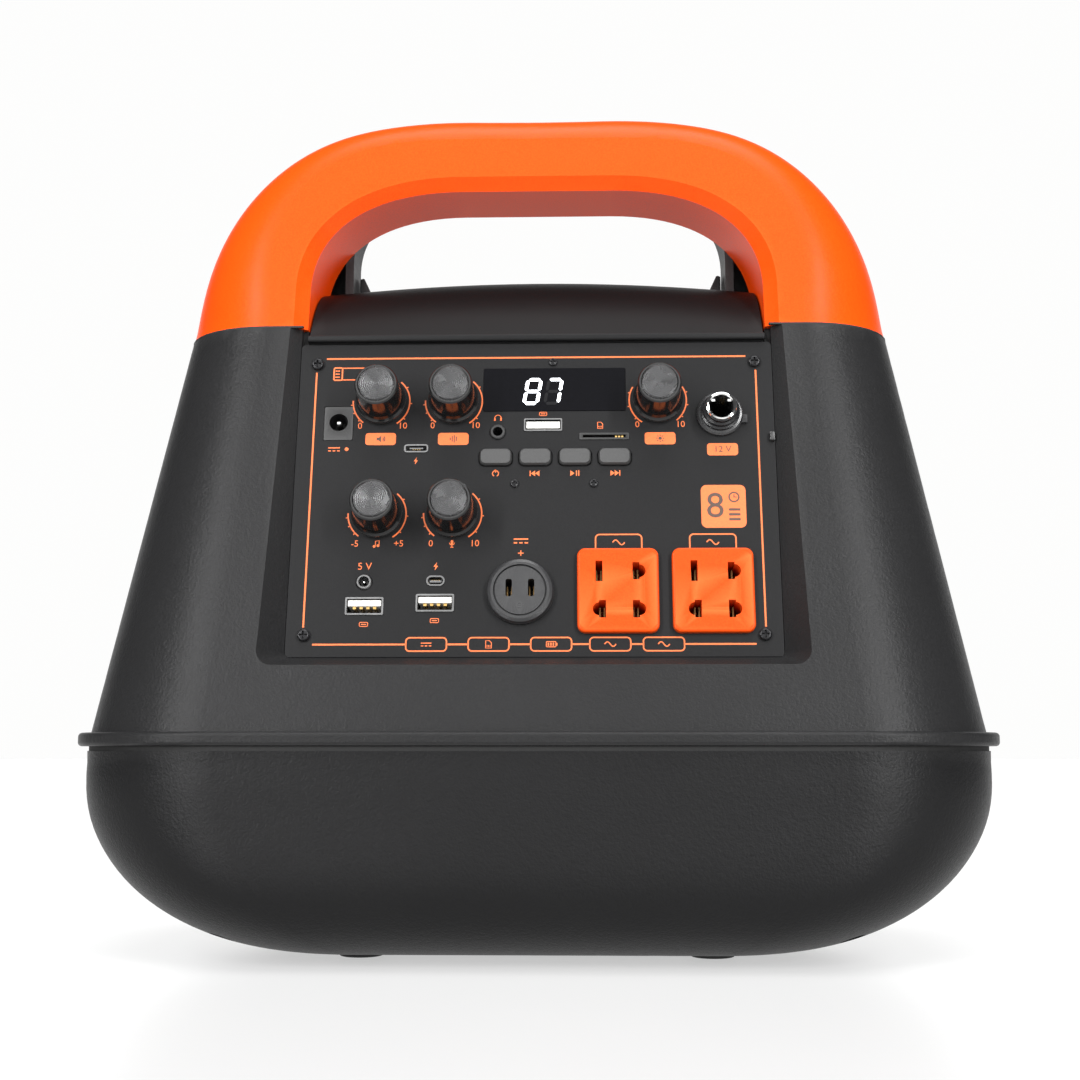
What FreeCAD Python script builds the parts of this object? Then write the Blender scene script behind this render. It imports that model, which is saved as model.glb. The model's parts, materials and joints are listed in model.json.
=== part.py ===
import FreeCAD, Part
import math
import os

# Portable power station: a tub and a tapered upper shell, a sloping control panel in a recess,
# and an arched carrying handle. Millimetres, +Z up, origin on the ground under the middle.

V = FreeCAD.Vector

# ---------------------------------------------------------------- driving dimensions
WALL = 2.8
GAP = 0.1

RIM_Z = 71.7
BAND_Z = 73.3
BAND_TOP_Z = 78.0
SEAM_Z = 224.0
BAND_OVERHANG = 4.4
BAND_ROUND = 1.4
BAND_ROOT = 0.9

SHELL_HALF_WIDTH = 158.6
SHELL_HALF_DEPTH = 70.0
SHELL_CORNER = 49.0
SIDE_TAPER = 0.186
SIDE_FLAT = 6.0
FACE_TAPER = 0.2255
CORNER_TAPER = 0.1

TUB_BOTTOM_Z = 1.6
TUB_HALF_WIDTH = 160.8
TUB_HALF_DEPTH = 72.6
TUB_FLAT_HALF_WIDTH = 80.0
TUB_FLAT_HALF_DEPTH = 27.0
TUB_ROLL_HEIGHT = 32.0
TUB_CORNER_RATIO = 0.77
TUB_END_PROFILE = [(TUB_HALF_WIDTH, 64.0), (TUB_HALF_WIDTH + 2.0, 33.0), (128.0, TUB_BOTTOM_Z),
                   (TUB_FLAT_HALF_WIDTH, TUB_BOTTOM_Z)]
TUB_SECTIONS = (1.0, 0.92, 0.82, 0.72, 0.6, 0.45, 0.3, 0.15, 0.0)
SEAL_INSET = 0.6
SEAL_WIDTH = 2.0
SEAL_CORNER = 55.0

PANEL_TILT = math.radians(10.43)
PANEL_ORIGIN = V(0, -55.0, 103.3)
PANEL_WIDTH = 169.8
PANEL_HEIGHT = 116.6
PANEL_THICK = 3.0
PANEL_CORNER = 1.5
RECESS_SIDE_DRAFT = 0.85
RECESS_BOTTOM_DRAFT = 0.5
RECESS_TOP_V = 130.0
RECESS_REACH = 16.0
RECESS_CORNER = 2.0
RECESS_FLARE_CORNER = 6.0
RECESS_GAP = 0.2
TRAY_WINDOW_DEPTH = 8.0
TRAY_WINDOW_WIDE = (77.5, 14.0, 102.5)
TRAY_WINDOW_TALL = (74.0, 4.0, 112.5)

VENT_COUNT = 7
VENT_PITCH = 10.2
VENT_FIRST_Z = 84.5
VENT_HEIGHT = 3.2
VENT_HALF_LENGTH = 20.0
VENT_REACH_X = (130.0, 175.0)

HANDLE_SPLIT_Y = 9.0
HANDLE_UNDERSIDE_Z = 280.6
HANDLE_TOP_Z = 312.4
HANDLE_WALL = 3.2
HANDLE_CHAMFER = 4.6
LEG_INNER_X = 83.1
POST_INNER_X = 73.0
HANDLE_OUTER_BEND = [(129.4, 235.0), (126.5, 257.0), (111.0, HANDLE_TOP_Z), (37.0, HANDLE_TOP_Z)]
HANDLE_INNER_BEND = [(66.0, 240.0), (66.0, 258.0), (60.0, 275.0), (36.0, 275.0)]
HANDLE_SECTIONS = (0.0, 0.2, 0.4, 0.6, 0.8, 1.0)
HANDLE_TOP_INNER_X = 12.0
HANDLE_TOP_OUTER_X = 17.0
HANDLE_TOP_ROUND = 17.0
HANDLE_ROUND_START = 0.1
HANDLE_SCREWS = [(-103.0, 244.0), (103.0, 244.0), (-48.0, 298.5), (48.0, 298.5)]
HANDLE_BOSS_R = 6.0
HANDLE_WELL_DEPTH = 5.6
HANDLE_HEAD_SUNK = 3.0
HANDLE_SCREW_TIP_Y = -4.0
HANDLE_HOLE_TIP_Y = -5.0
OPENING_BEND_SHARE = 0.55
OPENING_SHOULDER = 0.3
FRONT_OPENING = (LEG_INNER_X, HANDLE_UNDERSIDE_Z, 240.0, 28.0)
REAR_OPENING = (POST_INNER_X, 286.8, 262.0, 48.0)

DECK_Z = 218.3
DECK_FRONT_Y = -33.4
DECK_CREST_Z = 252.4
DECK_CREST_Y = 12.0
DECK_CAMBER = 5.0
DECK_SECTIONS = (-1.0, -0.66, -0.33, 0.0, 0.33, 0.66, 1.0)
DECK_LIP_Z = 220.8
DECK_LIP_RUN = 12.0
DECK_LIP_RISE = 16.0
DECK_FRONT_SWELL_Y = -10.0
DECK_REAR_SWELL_Y = 24.0
DECK_REAR_EASE = 4.0
DECK_REAR_EASE_Z = 244.0
DECK_REAR_LIP_Z = 226.0
DECK_WALL = 2.5
DECK_SIDE_GAP = 0.8
DECK_TRIM_TOP_Z = 260.0

KNOBS = {
    "volume": (-55.1, 94.1),
    "bass": (-29.1, 94.1),
    "light": (43.8, 94.1),
    "treble": (-55.1, 51.4),
    "mic": (-28.6, 51.4),
}
BUTTONS = {
    "mode": -13.8,
    "previous": 0.2,
    "play": 14.2,
    "next": 28.2,
}
BUTTON_V = 72.4

CORNER_SCREWS = [(-78.7, 7.6), (78.7, 7.6), (-78.7, 108.7), (78.7, 108.7)]
BOARD_SCREWS = [(6.4, 109.1), (-7.0, 62.5), (20.8, 62.5)]

DC_IN = (-70.2, 85.8)
MICRO_USB = (-42.1, 76.0)
DISPLAY = (6.9, 98.4)
AUX_JACK = (-13.2, 82.1)
MEDIA_USB = (2.9, 84.8)
CARD_SLOT = (24.6, 80.3)
DC12_SOCKET = (65.7, 88.3)
ROUND_OUTLET = (-4.7, 22.8)
AC_OUTLETS = {"left": (28.9, 23.1), "right": (61.5, 23.1)}
USB_A_PORTS = {"left": (-58.3, 18.0), "right": (-34.0, 19.1)}
DC5_JACK = (-58.7, 26.6)
TYPE_C = (-34.0, 27.0)

DISPLAY_SIZE = (51.0, 16.7)
DISPLAY_CORNER = 0.6
DISPLAY_PROUD = 0.25
DISPLAY_LENS_BACK = 1.8
DISPLAY_MODULE_INSET = 1.4
DISPLAY_BACK = 10.0

AC_SIZE = (28.0, 30.0)
AC_CORNER = 2.9
AC_FACE_HEIGHT = 2.4
AC_FACE_ROUND = 0.9
AC_BODY = (24.0, 26.0)
AC_BODY_CORNER = 1.0
AC_BODY_DEPTH = 16.0
AC_CONTACT_DEPTH = 14.0
AC_CONTACTS = [(-6.5, 6.6), (6.2, 6.6), (-5.4, -6.9), (6.2, -6.9)]
AC_BLADE_HALF_WIDTH = 1.2
AC_BLADE_HALF_TALL = 3.7
AC_BLADE_HALF_SHORT = 3.1
AC_LOBE_R = 2.3
AC_LOBE_OFFSET = 1.0

PORT_CORNER = 0.5
PORT_HOLE_CORNER = 0.6
PORT_MOUTH_CORNER = 0.3
PORT_PROUD = 0.3
TONGUE_SUNK = 0.7
USB_A_SIZE = (13.2, 6.3)
USB_A_WALL = 0.6
USB_A_DEPTH = 13.0
USB_A_TONGUE = (5.6, 0.3, 2.1)
MEDIA_SIZE = (13.6, 4.8)
MEDIA_WALL = 0.5
MEDIA_TONGUE = (5.6, 0.0, 1.5)
MICRO_SIZE = (8.6, 3.1)
MICRO_CORNER = 1.1
MICRO_WALL = 0.55
MICRO_DEPTH = 6.0
MICRO_TONGUE = (2.4, 0.1, 0.6)
TYPE_C_SIZE = (6.4, 3.7)
TYPE_C_CORNER = 1.8
TYPE_C_WALL = 0.55
TYPE_C_DEPTH = 8.0
TYPE_C_TONGUE = (2.0, -0.35, 0.35)
CARD_SIZE = (17.6, 2.5)
CARD_CORNER = 0.4
CARD_OPENING = (7.6, 0.5)
DC_IN_SIZE = (10.3, 12.7)
DC_IN_HOLE = (10.7, 13.1)
DC_IN_CORNER = 0.4
DC_IN_RISE = 0.4
DC_IN_BORE_R = 3.3
DC_IN_DEPTH = 9.6
DC_IN_PIN_R = 1.0
DC_IN_PIN_SUNK = 1.2
JACK_R = 2.8
JACK_RIM_R = 2.45
JACK_PROUD = 0.8
AUX_BODY = (7.0, 7.0)
AUX_BORE_R = 1.75
DC5_BORE_R = 1.9
DC5_DEPTH = 9.0
DC5_PIN_R = 0.5

ROUND_OUTLET_R = 11.6
ROUND_OUTLET_BODY_R = 10.5
ROUND_OUTLET_DEPTH = 15.0
ROUND_OUTLET_FACE = [(ROUND_OUTLET_R, 0.0), (ROUND_OUTLET_R, 1.4), (ROUND_OUTLET_R - 0.5, 2.5),
                     (ROUND_OUTLET_R - 1.5, 3.1), (9.2, 3.1), (9.0, 2.2), (8.7, 2.2), (8.6, 2.9), (0.0, 2.9)]
ROUND_SLOT = (2.2, 6.2)
ROUND_SLOT_CORNER = 0.8
ROUND_SLOT_SPACING = 7.7
ROUND_SLOT_RISE = 0.9
ROUND_SLOT_DEPTH = 12.0
ROUND_SLOT_TOP = 4.0

DC12_BODY_R = 6.0
DC12_FLANGE_R = 8.2
DC12_BORE_R = 4.2
DC12_DEPTH = 20.0
DC12_STEPS = [(DC12_FLANGE_R, 1.2), (7.7, 1.7), (6.9, 1.9), (6.9, 3.2), (6.2, 3.6), (6.2, 5.2),
              (5.5, 5.7), (5.5, 7.4)]
DC12_RING = [(5.2, 7.4), (5.3, 7.8), (5.1, 8.3), (4.6, 8.5), (DC12_BORE_R, 8.2)]
DC12_TAB = (9.6, -3.4, -0.4, 0.0, 1.2)

KNOB_TOP = 16.6
KNOB_R = 9.0
KNOB_RIM_R = 7.1
KNOB_DISH_R = 6.5
KNOB_DISH_DEPTH = 1.2
KNOB_BASE_Z = 0.8
KNOB_BORE_R = 6.6
KNOB_BORE_TOP = 7.5
KNOB_SIDE = [(7.6, KNOB_TOP - 1.0), (7.9, 4.6), (8.3, 3.4), (KNOB_R, 2.6)]
KNOB_RIM_DROP = 0.4
KNOB_CAP_GAP = 0.05
KNOB_CAP_EDGE = 0.25
KNOB_POINTER_HALF = 0.35
KNOB_POINTER_R = 7.2
KNOB_POINTER_FOOT = 5.0
SHAFT_TOP = 14.0
SHAFT_FOOT = 8.6
SHAFT_BORE_DEPTH = 9.0
SHAFT_R = 3.0
SHAFT_CLEARANCE = 0.05
BUSHING_R = 3.6
BUSHING_TOP = 6.0
NUT_R = 5.2
NUT_HEIGHT = 1.8
POT_SIZE = (16.0, 17.0)
POT_CORNER = 1.0
POT_DEPTH = 10.4

BUTTON_SIZE = (11.4, 6.2)
BUTTON_HOLE = (12.1, 6.9)
BUTTON_CORNER = 2.1
BUTTON_TOP_CORNER = 1.7
BUTTON_HOLE_CORNER = 2.4
BUTTON_SHOULDER = 0.9
BUTTON_TOP = 1.7
BUTTON_TOP_SIZE = (10.4, 5.2)
BUTTON_COLLAR = (13.6, 8.4)
BUTTON_COLLAR_FACE = 3.5
BUTTON_COLLAR_BACK = 4.6
BUTTON_STEM_R = 1.6
BUTTON_STEM_TIP = 5.6

CASE_SCREW_XY = (108.0, 38.0)
CASE_SCREW_R = 1.9
CASE_SCREW_HEAD_R = 3.8
CASE_SCREW_HEAD_HEIGHT = 2.6
CASE_SCREW_CROSS_HALF = 2.4
CASE_SCREW_CROSS_SLOT = 0.5
CASE_SCREW_CROSS_DEPTH = 1.2
CASE_SCREW_TIP_Z = 82.0
CASE_HOLE_TOP_Z = 84.0
CASE_HOLE_CLEAR_R = 2.1
CASE_WELL_R = 4.4
CASE_WELL_TOP_Z = 56.0
CASE_BOSS_R = 6.0
CASE_BOSS_FOOT_Z = 5.0
CASE_BOSS_TOP_Z = 86.0
BOSS_RIB_REACH = 40.0
BOSS_RIB_HALF = 1.5
BOSS_RIB_INSET = 1.2
BOSS_RIB_TOP_Z = 84.0
PILLAR_XY = (94.0, 38.0)
PILLAR_R = 4.0

TRAY_WALL = 2.6
TRAY_BOSS_R = 3.9
TRAY_BOSS_DEPTH = 11.0
PANEL_SCREW_R = 1.5
PANEL_SCREW_HEAD = (2.2, 1.5)
PANEL_SCREW_LENGTH = 10.0
BOARD_BOSS_R = 2.6
BOARD_BOSS_DEPTH = 12.0
BOARD_SCREW_R = 1.0
BOARD_SCREW_HEAD = (1.5, 0.8)
BOARD_SCREW_LENGTH = 9.0
PAN_ROUND_SHARE = 0.6
PAN_CROSS_SHARE = 0.62
PAN_FLOOR_SHARE = 0.35
PAN_SLOT_HALF = 0.3
PANEL_CUT_DEPTH = 20.0
PORT_BACK = 11.6
PORT_BORE = 10.6
EDGE_FLATNESS = 0.01

BATTERY = (-75.0, 75.0, -38.0, 38.0, 9.0, 61.0)
INVERTER_BOARD = (-100.0, 100.0, -44.0, 44.0, 66.0, 67.6)
CONTROL_BOARD = (-74.0, 45.0, 44.0, 112.0, -13.6, -12.0)
SWITCH_HALF = 3.0
SWITCH_TOP = -7.0
CHIP_HEIGHT = 2.0
BOARD_CHIPS = [(-60.0, -46.0, 66.0, 78.0), (-20.0, -4.0, 84.0, 98.0), (12.0, 30.0, 52.0, 62.0)]
INVERTER_BLOCKS = [((56.0, 67.0, -10.0, 0.0), 12.0), ((-98.0, -88.0, -12.0, 12.0), 11.0)]

FAN_SIZE = 60.0
FAN_THICK = 15.0
FAN_X = 120.0
FAN_Z = 112.0
FAN_BORE_R = 28.0
FAN_POST_SPACING = 27.0
FAN_POST_HALF = 3.0
FAN_POST_REACH = 30.0
FAN_HOLE_SPACING = 25.0
FAN_HOLE_R = 2.0
FAN_CORNER = 4.0
FAN_HUB_R = 11.0
FAN_SPOKE_THICK = 3.0
FAN_SPOKE_HALF = 1.5
FAN_SHAFT_R = 1.5
FAN_BORE_FLOOR = 0.6
FAN_RUNNING_GAP = 0.6
FAN_BLADES = 7
FAN_BLADE_ANGLE = 38.0
FAN_BLADE_HALF_THICK = 0.7
FAN_BLADE_HALF_CHORD = 6.0
FAN_BLADE_ROOT_R = 9.0
ROTOR_R = 26.4

SPEAKER_V = 78.0
SPEAKER_HOLE_R = 41.0
GRILLE_R = 45.0
GRILLE_HEIGHT = 2.4
GRILLE_ROLL = [(GRILLE_R, 1.0), (GRILLE_R - 1.2, 2.2), (GRILLE_R - 4.0, GRILLE_HEIGHT)]
GRILLE_ROWS = 9
GRILLE_PITCH = 8.0
GRILLE_SLOT = 3.6
GRILLE_SLOT_CORNER = 1.75
GRILLE_EDGE = 6.0
DRIVER_DEPTH = 34.0
DRIVER_MAGNET_R = 26.0
DRIVER_MAGNET_FACE = 24.0
DRIVER_THROAT_R = 22.0
DRIVER_BASKET_R = 40.0
DRIVER_RIM_R = 46.0
DRIVER_RIM_THICK = 4.0
DRIVER_OPENING_R = 40.5
DRIVER_CONE = [(38.0, -4.6), (34.0, -5.4), (12.0, -17.0), (9.0, -15.0), (4.0, -13.4), (0.0, -13.0)]

BATTERY_ROUND = 3.0
STRAP_THICK = 1.5
STRAP_HALF = 11.0
STRAP_FOOT = 7.0
BATTERY_BOARD = (79.0, 80.6, -30.0, 30.0, 14.0, 56.0)
BATTERY_CHIP_Y = (-20.0, -6.0, 8.0)
BATTERY_CHIP = (2.4, 8.0, 24.0, 44.0)

CAPACITOR_X = 78.0
CAPACITOR_Y = (-24.0, 30.0)
CAPACITOR_R = 8.0
CAPACITOR_HEIGHT = 26.0
HEATSINK = (-80.0, -12.0, -24.0, 24.0)
HEATSINK_BASE = 5.0
HEATSINK_HEIGHT = 28.0
HEATSINK_FINS = 8
HEATSINK_FIN = 2.0
HEATSINK_PITCH = 6.6
TRANSFORMER = (6.0, 50.0, -2.0, 38.0)
TRANSFORMER_HEIGHT = 34.0
TRANSFORMER_WINDOWS = ((5.0, 12.0), (24.0, 31.0))
TRANSFORMER_WINDOW_Z = (7.0, 27.0)
COIL = (2.0, 54.0, 6.0, 30.0)
COIL_Z = (8.0, 26.0)
COIL_CORE_Y = (12.0, 24.0)

BATTERY_LEAD_Y = 6.0
BATTERY_LEAD_Z = 45.0
BATTERY_LEAD_TURN_X = -116.0
BATTERY_LEAD_END_X = -98.0
BATTERY_LEAD_RISE = 6.0
BATTERY_LEAD_R = 1.9
OUTLET_LEAD_R = 1.6
OUTLET_LEAD_DEPTH = 16.0
OUTLET_LEAD_RUN = 30.0
OUTLET_LEAD_RISE = 12.0

FOOT_XY = (62.0, 19.0)
FOOT_R = 8.0
FOOT_HEIGHT = 8.0
FOOT_ROUND = 1.0

BEYOND = 1.0
FAR = 200.0


# ---------------------------------------------------------------- shared helpers
def save(name, shape):
    """Write one sub-part to its own STEP file."""
    shape.exportStep("parts/" + name + ".step")


def box(x0, x1, y0, y1, z0, z1):
    return Part.makeBox(x1 - x0, y1 - y0, z1 - z0, V(x0, y0, z0))


def cyl(radius, z0, z1, x=0.0, y=0.0):
    return Part.makeCylinder(radius, z1 - z0, V(x, y, z0), V(0, 0, 1))


def along_x(radius, x0, x1, y=0.0, z=0.0):
    return Part.makeCylinder(radius, x1 - x0, V(x0, y, z), V(1, 0, 0))


def along_y(radius, y0, y1, x=0.0, z=0.0):
    return Part.makeCylinder(radius, y1 - y0, V(x, y0, z), V(0, 1, 0))


def fuse(shapes):
    return shapes[0].multiFuse(shapes[1:]) if len(shapes) > 1 else shapes[0]


def rounded_rect(half_x, half_y, radius, z, centre=(0.0, 0.0)):
    """Closed wire of four lines and four arcs at height z."""
    cx, cy = centre
    ix, iy = half_x - radius, half_y - radius
    lean = radius * math.sqrt(0.5)
    corners = [(ix, -iy, 1, -1), (ix, iy, 1, 1), (-ix, iy, -1, 1), (-ix, -iy, -1, -1)]
    starts = [V(cx + ix, cy - half_y, z), V(cx + half_x, cy + iy, z),
              V(cx - ix, cy + half_y, z), V(cx - half_x, cy - iy, z)]
    ends = [V(cx + half_x, cy - iy, z), V(cx + ix, cy + half_y, z),
            V(cx - half_x, cy + iy, z), V(cx - ix, cy - half_y, z)]
    edges = []
    for i, (kx, ky, sx, sy) in enumerate(corners):
        middle = V(cx + kx + sx * lean, cy + ky + sy * lean, z)
        edges.append(Part.Arc(starts[i], middle, ends[i]).toShape())
        edges.append(Part.LineSegment(ends[i], starts[(i + 1) % 4]).toShape())
    return Part.Wire(edges)


def plate(width, height, radius, z0, z1, centre=(0.0, 0.0)):
    """Rounded rectangular block between two heights."""
    wire = rounded_rect(width / 2, height / 2, radius, z0, centre)
    return Part.Face(wire).extrude(V(0, 0, z1 - z0))


def turned(profile):
    """Solid turned about the Z axis from (radius, height) points."""
    points = [V(r, 0, z) for r, z in profile]
    return Part.Face(Part.makePolygon(points + points[:1])).revolve(V(), V(0, 0, 1), 360)


def bezier(points):
    curve = Part.BezierCurve()
    curve.setPoles(points)
    return curve.toShape()


def mix(a, b, t):
    return a + (b - a) * t


def bezier_value(poles, t):
    s = 1.0 - t
    weights = (s ** 3, 3 * s * s * t, 3 * s * t * t, t ** 3)
    return tuple(sum(w * p[k] for w, p in zip(weights, poles)) for k in range(2))


def tube(points, radius):
    """Wire insulation along straight runs joined by tangent arcs."""
    edges = []
    start = points[0]
    for before, corner, after in zip(points, points[1:], points[2:]):
        incoming, outgoing = corner - before, after - corner
        reach = 0.45 * min(incoming.Length, outgoing.Length)
        half_turn = incoming.getAngle(outgoing) / 2
        bend = reach / math.tan(half_turn)
        enter = corner - V(incoming).normalize() * reach
        leave = corner + V(outgoing).normalize() * reach
        inward = (V(outgoing).normalize() - V(incoming).normalize()).normalize()
        middle = corner + inward * (bend / math.cos(half_turn) - bend)
        edges.append(Part.LineSegment(start, enter).toShape())
        edges.append(Part.Arc(enter, middle, leave).toShape())
        start = leave
    edges.append(Part.LineSegment(start, points[-1]).toShape())
    section = Part.Wire(Part.makeCircle(radius, points[0], points[1] - points[0]))
    return Part.Wire(edges).makePipeShell([section], True, False)


def frame_placement(base, y_axis, z_axis):
    """Placement whose local Y and Z lie along two given directions."""
    return FreeCAD.Placement(base, FreeCAD.Rotation(y_axis.cross(z_axis), y_axis, z_axis, "ZXY"))


PANEL_UP = V(0, math.sin(PANEL_TILT), math.cos(PANEL_TILT))
PANEL_OUT = V(0, -math.cos(PANEL_TILT), math.sin(PANEL_TILT))
FACE_ANGLE = math.atan(FACE_TAPER)
REAR_UP = V(0, -math.sin(FACE_ANGLE), math.cos(FACE_ANGLE))
REAR_OUT = V(0, math.cos(FACE_ANGLE), math.sin(FACE_ANGLE))
PANEL_FRAME = frame_placement(PANEL_ORIGIN, PANEL_UP, PANEL_OUT)
REAR_FRAME = frame_placement(V(0, SHELL_HALF_DEPTH, BAND_TOP_Z), REAR_UP, REAR_OUT)


def on_panel(shape, spot=(0.0, 0.0)):
    """Move a shape drawn about the origin to a spot on the panel face, +Z outwards."""
    moved = shape.copy()
    moved.translate(V(spot[0], spot[1], 0))
    moved.Placement = PANEL_FRAME.multiply(moved.Placement)
    return moved


def on_rear(shape):
    moved = shape.copy()
    moved.translate(V(0, SPEAKER_V, 0))
    moved.Placement = REAR_FRAME.multiply(moved.Placement)
    return moved


# ---------------------------------------------------------------- outer forms
def shell_size(z):
    """Half width, half depth and corner radius of the tapered shell at height z."""
    rise = z - BAND_TOP_Z
    half_width = SHELL_HALF_WIDTH - SIDE_TAPER * rise
    half_depth = SHELL_HALF_DEPTH - FACE_TAPER * rise
    corner = min(SHELL_CORNER - CORNER_TAPER * rise, half_depth - SIDE_FLAT / 2)
    return half_width, half_depth, corner


def shell_form(inset, z0, z1):
    wires = []
    for z in (z0, z1):
        half_width, half_depth, corner = shell_size(z)
        wires.append(rounded_rect(half_width - inset, half_depth - inset, corner - inset, z))
    return Part.makeLoft(wires, True, True)


def tub_form(inset, top_z):
    """Round-bottomed tub through horizontal sections of a curved end profile."""
    roll_depth = TUB_HALF_DEPTH - TUB_FLAT_HALF_DEPTH
    sections = [bezier_value(TUB_END_PROFILE, t) for t in TUB_SECTIONS]
    sections.append((TUB_HALF_WIDTH, top_z))
    wires = []
    for half_width, z in sections:
        drop = max(0.0, (TUB_BOTTOM_Z + TUB_ROLL_HEIGHT - z) / TUB_ROLL_HEIGHT)
        half_depth = TUB_FLAT_HALF_DEPTH + roll_depth * math.sqrt(1.0 - drop ** 2)
        corner = TUB_CORNER_RATIO * half_depth
        lift = inset * (1.0 - (z - TUB_BOTTOM_Z) / (top_z - TUB_BOTTOM_Z))
        wires.append(rounded_rect(half_width - inset, half_depth - inset, corner - inset, z + lift))
    return Part.makeLoft(wires, True, False)


# ---------------------------------------------------------------- enclosure
def four_spots(pair):
    """The four mirror images of one plan position."""
    x, y = pair
    return [(x, y), (-x, y), (-x, -y), (x, -y)]


def board_pillars():
    return [cyl(PILLAR_R, TUB_BOTTOM_Z, INVERTER_BOARD[4], x, y) for x, y in four_spots(PILLAR_XY)]


def make_tub():
    outer = tub_form(0.0, RIM_Z)
    inner = tub_form(WALL, RIM_Z)
    bosses = [cyl(CASE_BOSS_R, CASE_BOSS_FOOT_Z, RIM_Z, x, y) for x, y in four_spots(CASE_SCREW_XY)]
    inside = fuse(bosses + board_pillars()).common(outer)
    tub = outer.cut(inner).fuse(inside)
    wells = [cyl(CASE_WELL_R, 0.0, CASE_WELL_TOP_Z, x, y) for x, y in four_spots(CASE_SCREW_XY)]
    holes = [cyl(CASE_HOLE_CLEAR_R, 0.0, RIM_Z + BEYOND, x, y) for x, y in four_spots(CASE_SCREW_XY)]
    save("lower_tub", tub.cut(fuse(wells + holes)))


def make_seal():
    faces = []
    for inset in (SEAL_INSET, SEAL_INSET + SEAL_WIDTH):
        corner = SEAL_CORNER - (inset - SEAL_INSET)
        faces.append(Part.Face(rounded_rect(TUB_HALF_WIDTH - inset, TUB_HALF_DEPTH - inset, corner, RIM_Z)))
    save("flange_seal", faces[0].cut(faces[1]).extrude(V(0, 0, BAND_Z - RIM_Z)))


def make_feet():
    tub = tub_form(0.0, RIM_Z)
    feet = []
    for x, y in four_spots(FOOT_XY):
        pad = cyl(FOOT_R, 0.0, FOOT_HEIGHT, x, y)
        pad = pad.makeFillet(FOOT_ROUND, [e for e in pad.Edges if e.BoundBox.ZMax < EDGE_FLATNESS])
        feet.append(pad.cut(tub))
    save("rubber_feet", Part.makeCompound(feet))


def recess(margin, floor):
    """The pocket round the control panel: straight beside the panel, then flaring outwards."""
    corner = RECESS_CORNER + margin
    side_flare = RECESS_GAP + RECESS_SIDE_DRAFT * RECESS_REACH
    bottom_flare = -RECESS_GAP - RECESS_BOTTOM_DRAFT * RECESS_REACH

    def outline(side, bottom, z, radius):
        middle = (RECESS_TOP_V - bottom) / 2
        return rounded_rect(PANEL_WIDTH / 2 + side + margin, middle + margin / 2, radius,
                            z, (0.0, bottom + middle - margin / 2))

    straight = Part.Face(outline(RECESS_GAP, -RECESS_GAP, floor, corner)).extrude(V(0, 0, -floor))
    mouth = outline(side_flare, bottom_flare, RECESS_REACH, corner + RECESS_FLARE_CORNER)
    flared = Part.makeLoft([outline(RECESS_GAP, -RECESS_GAP, 0.0, corner), mouth], True, True)
    return on_panel(straight.fuse(flared))


def tray_window():
    parts = []
    for half, low, high in (TRAY_WINDOW_WIDE, TRAY_WINDOW_TALL):
        parts.append(box(-half, half, low, high, -TRAY_WINDOW_DEPTH, 0.0))
    return on_panel(fuse(parts))


def deck_notch():
    """Seat of the deck: wide in front of the rear posts, narrower between them."""
    top = SEAM_Z + BEYOND
    front = box(-LEG_INNER_X, LEG_INNER_X, -FAR, HANDLE_SPLIT_Y + 3 * GAP, DECK_Z, top)
    back = box(-POST_INNER_X, POST_INNER_X, 0.0, FAR, DECK_Z, top)
    return front.fuse(back)


def side_vents():
    near, far = VENT_REACH_X
    slots = []
    for i in range(VENT_COUNT):
        z = VENT_FIRST_Z + VENT_PITCH * i
        slots.append(box(-far, -near, -VENT_HALF_LENGTH, VENT_HALF_LENGTH, z, z + VENT_HEIGHT))
        slots.append(box(near, far, -VENT_HALF_LENGTH, VENT_HALF_LENGTH, z, z + VENT_HEIGHT))
    return Part.makeCompound(slots)


def fan_posts(outer):
    """Four square posts that carry the fan off the end wall."""
    near = FAN_X + FAN_THICK
    half = FAN_POST_HALF
    posts = []
    for y, dz in four_spots((FAN_POST_SPACING, FAN_POST_SPACING)):
        z = FAN_Z + dz
        posts.append(box(near, near + FAN_POST_REACH, y - half, y + half, z - half, z + half))
    return fuse(posts).common(outer)


def flange_ring(inset, z0, z1):
    """Solid slab following the shell's foot, grown or shrunk by an inset."""
    wire = rounded_rect(SHELL_HALF_WIDTH - inset, SHELL_HALF_DEPTH - inset, SHELL_CORNER - inset, z0)
    return Part.Face(wire).extrude(V(0, 0, z1 - z0))


def make_band():
    """The proud flange at the foot of the upper shell, rooted inside the wall."""
    band = flange_ring(-BAND_OVERHANG, BAND_Z, BAND_TOP_Z)
    rims = [e for e in band.Edges if e.BoundBox.ZLength < EDGE_FLATNESS]
    root = flange_ring(BAND_ROOT, BAND_Z - BEYOND, BAND_TOP_Z + BEYOND)
    return band.makeFillet(BAND_ROUND, rims).cut(root)


def shell_screw_bosses():
    """A boss for each case screw with a rib running into the middle of the wall."""
    mid_wall = shell_form(BOSS_RIB_INSET, BAND_Z, SEAM_Z)
    bosses = []
    for x, y in four_spots(CASE_SCREW_XY):
        near, far = sorted((y, y + math.copysign(BOSS_RIB_REACH, y)))
        rib = box(x - BOSS_RIB_HALF, x + BOSS_RIB_HALF, near, far, BAND_Z, BOSS_RIB_TOP_Z)
        bosses.append(cyl(CASE_BOSS_R, BAND_Z, CASE_BOSS_TOP_Z, x, y).fuse(rib.common(mid_wall)))
    return bosses


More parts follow.
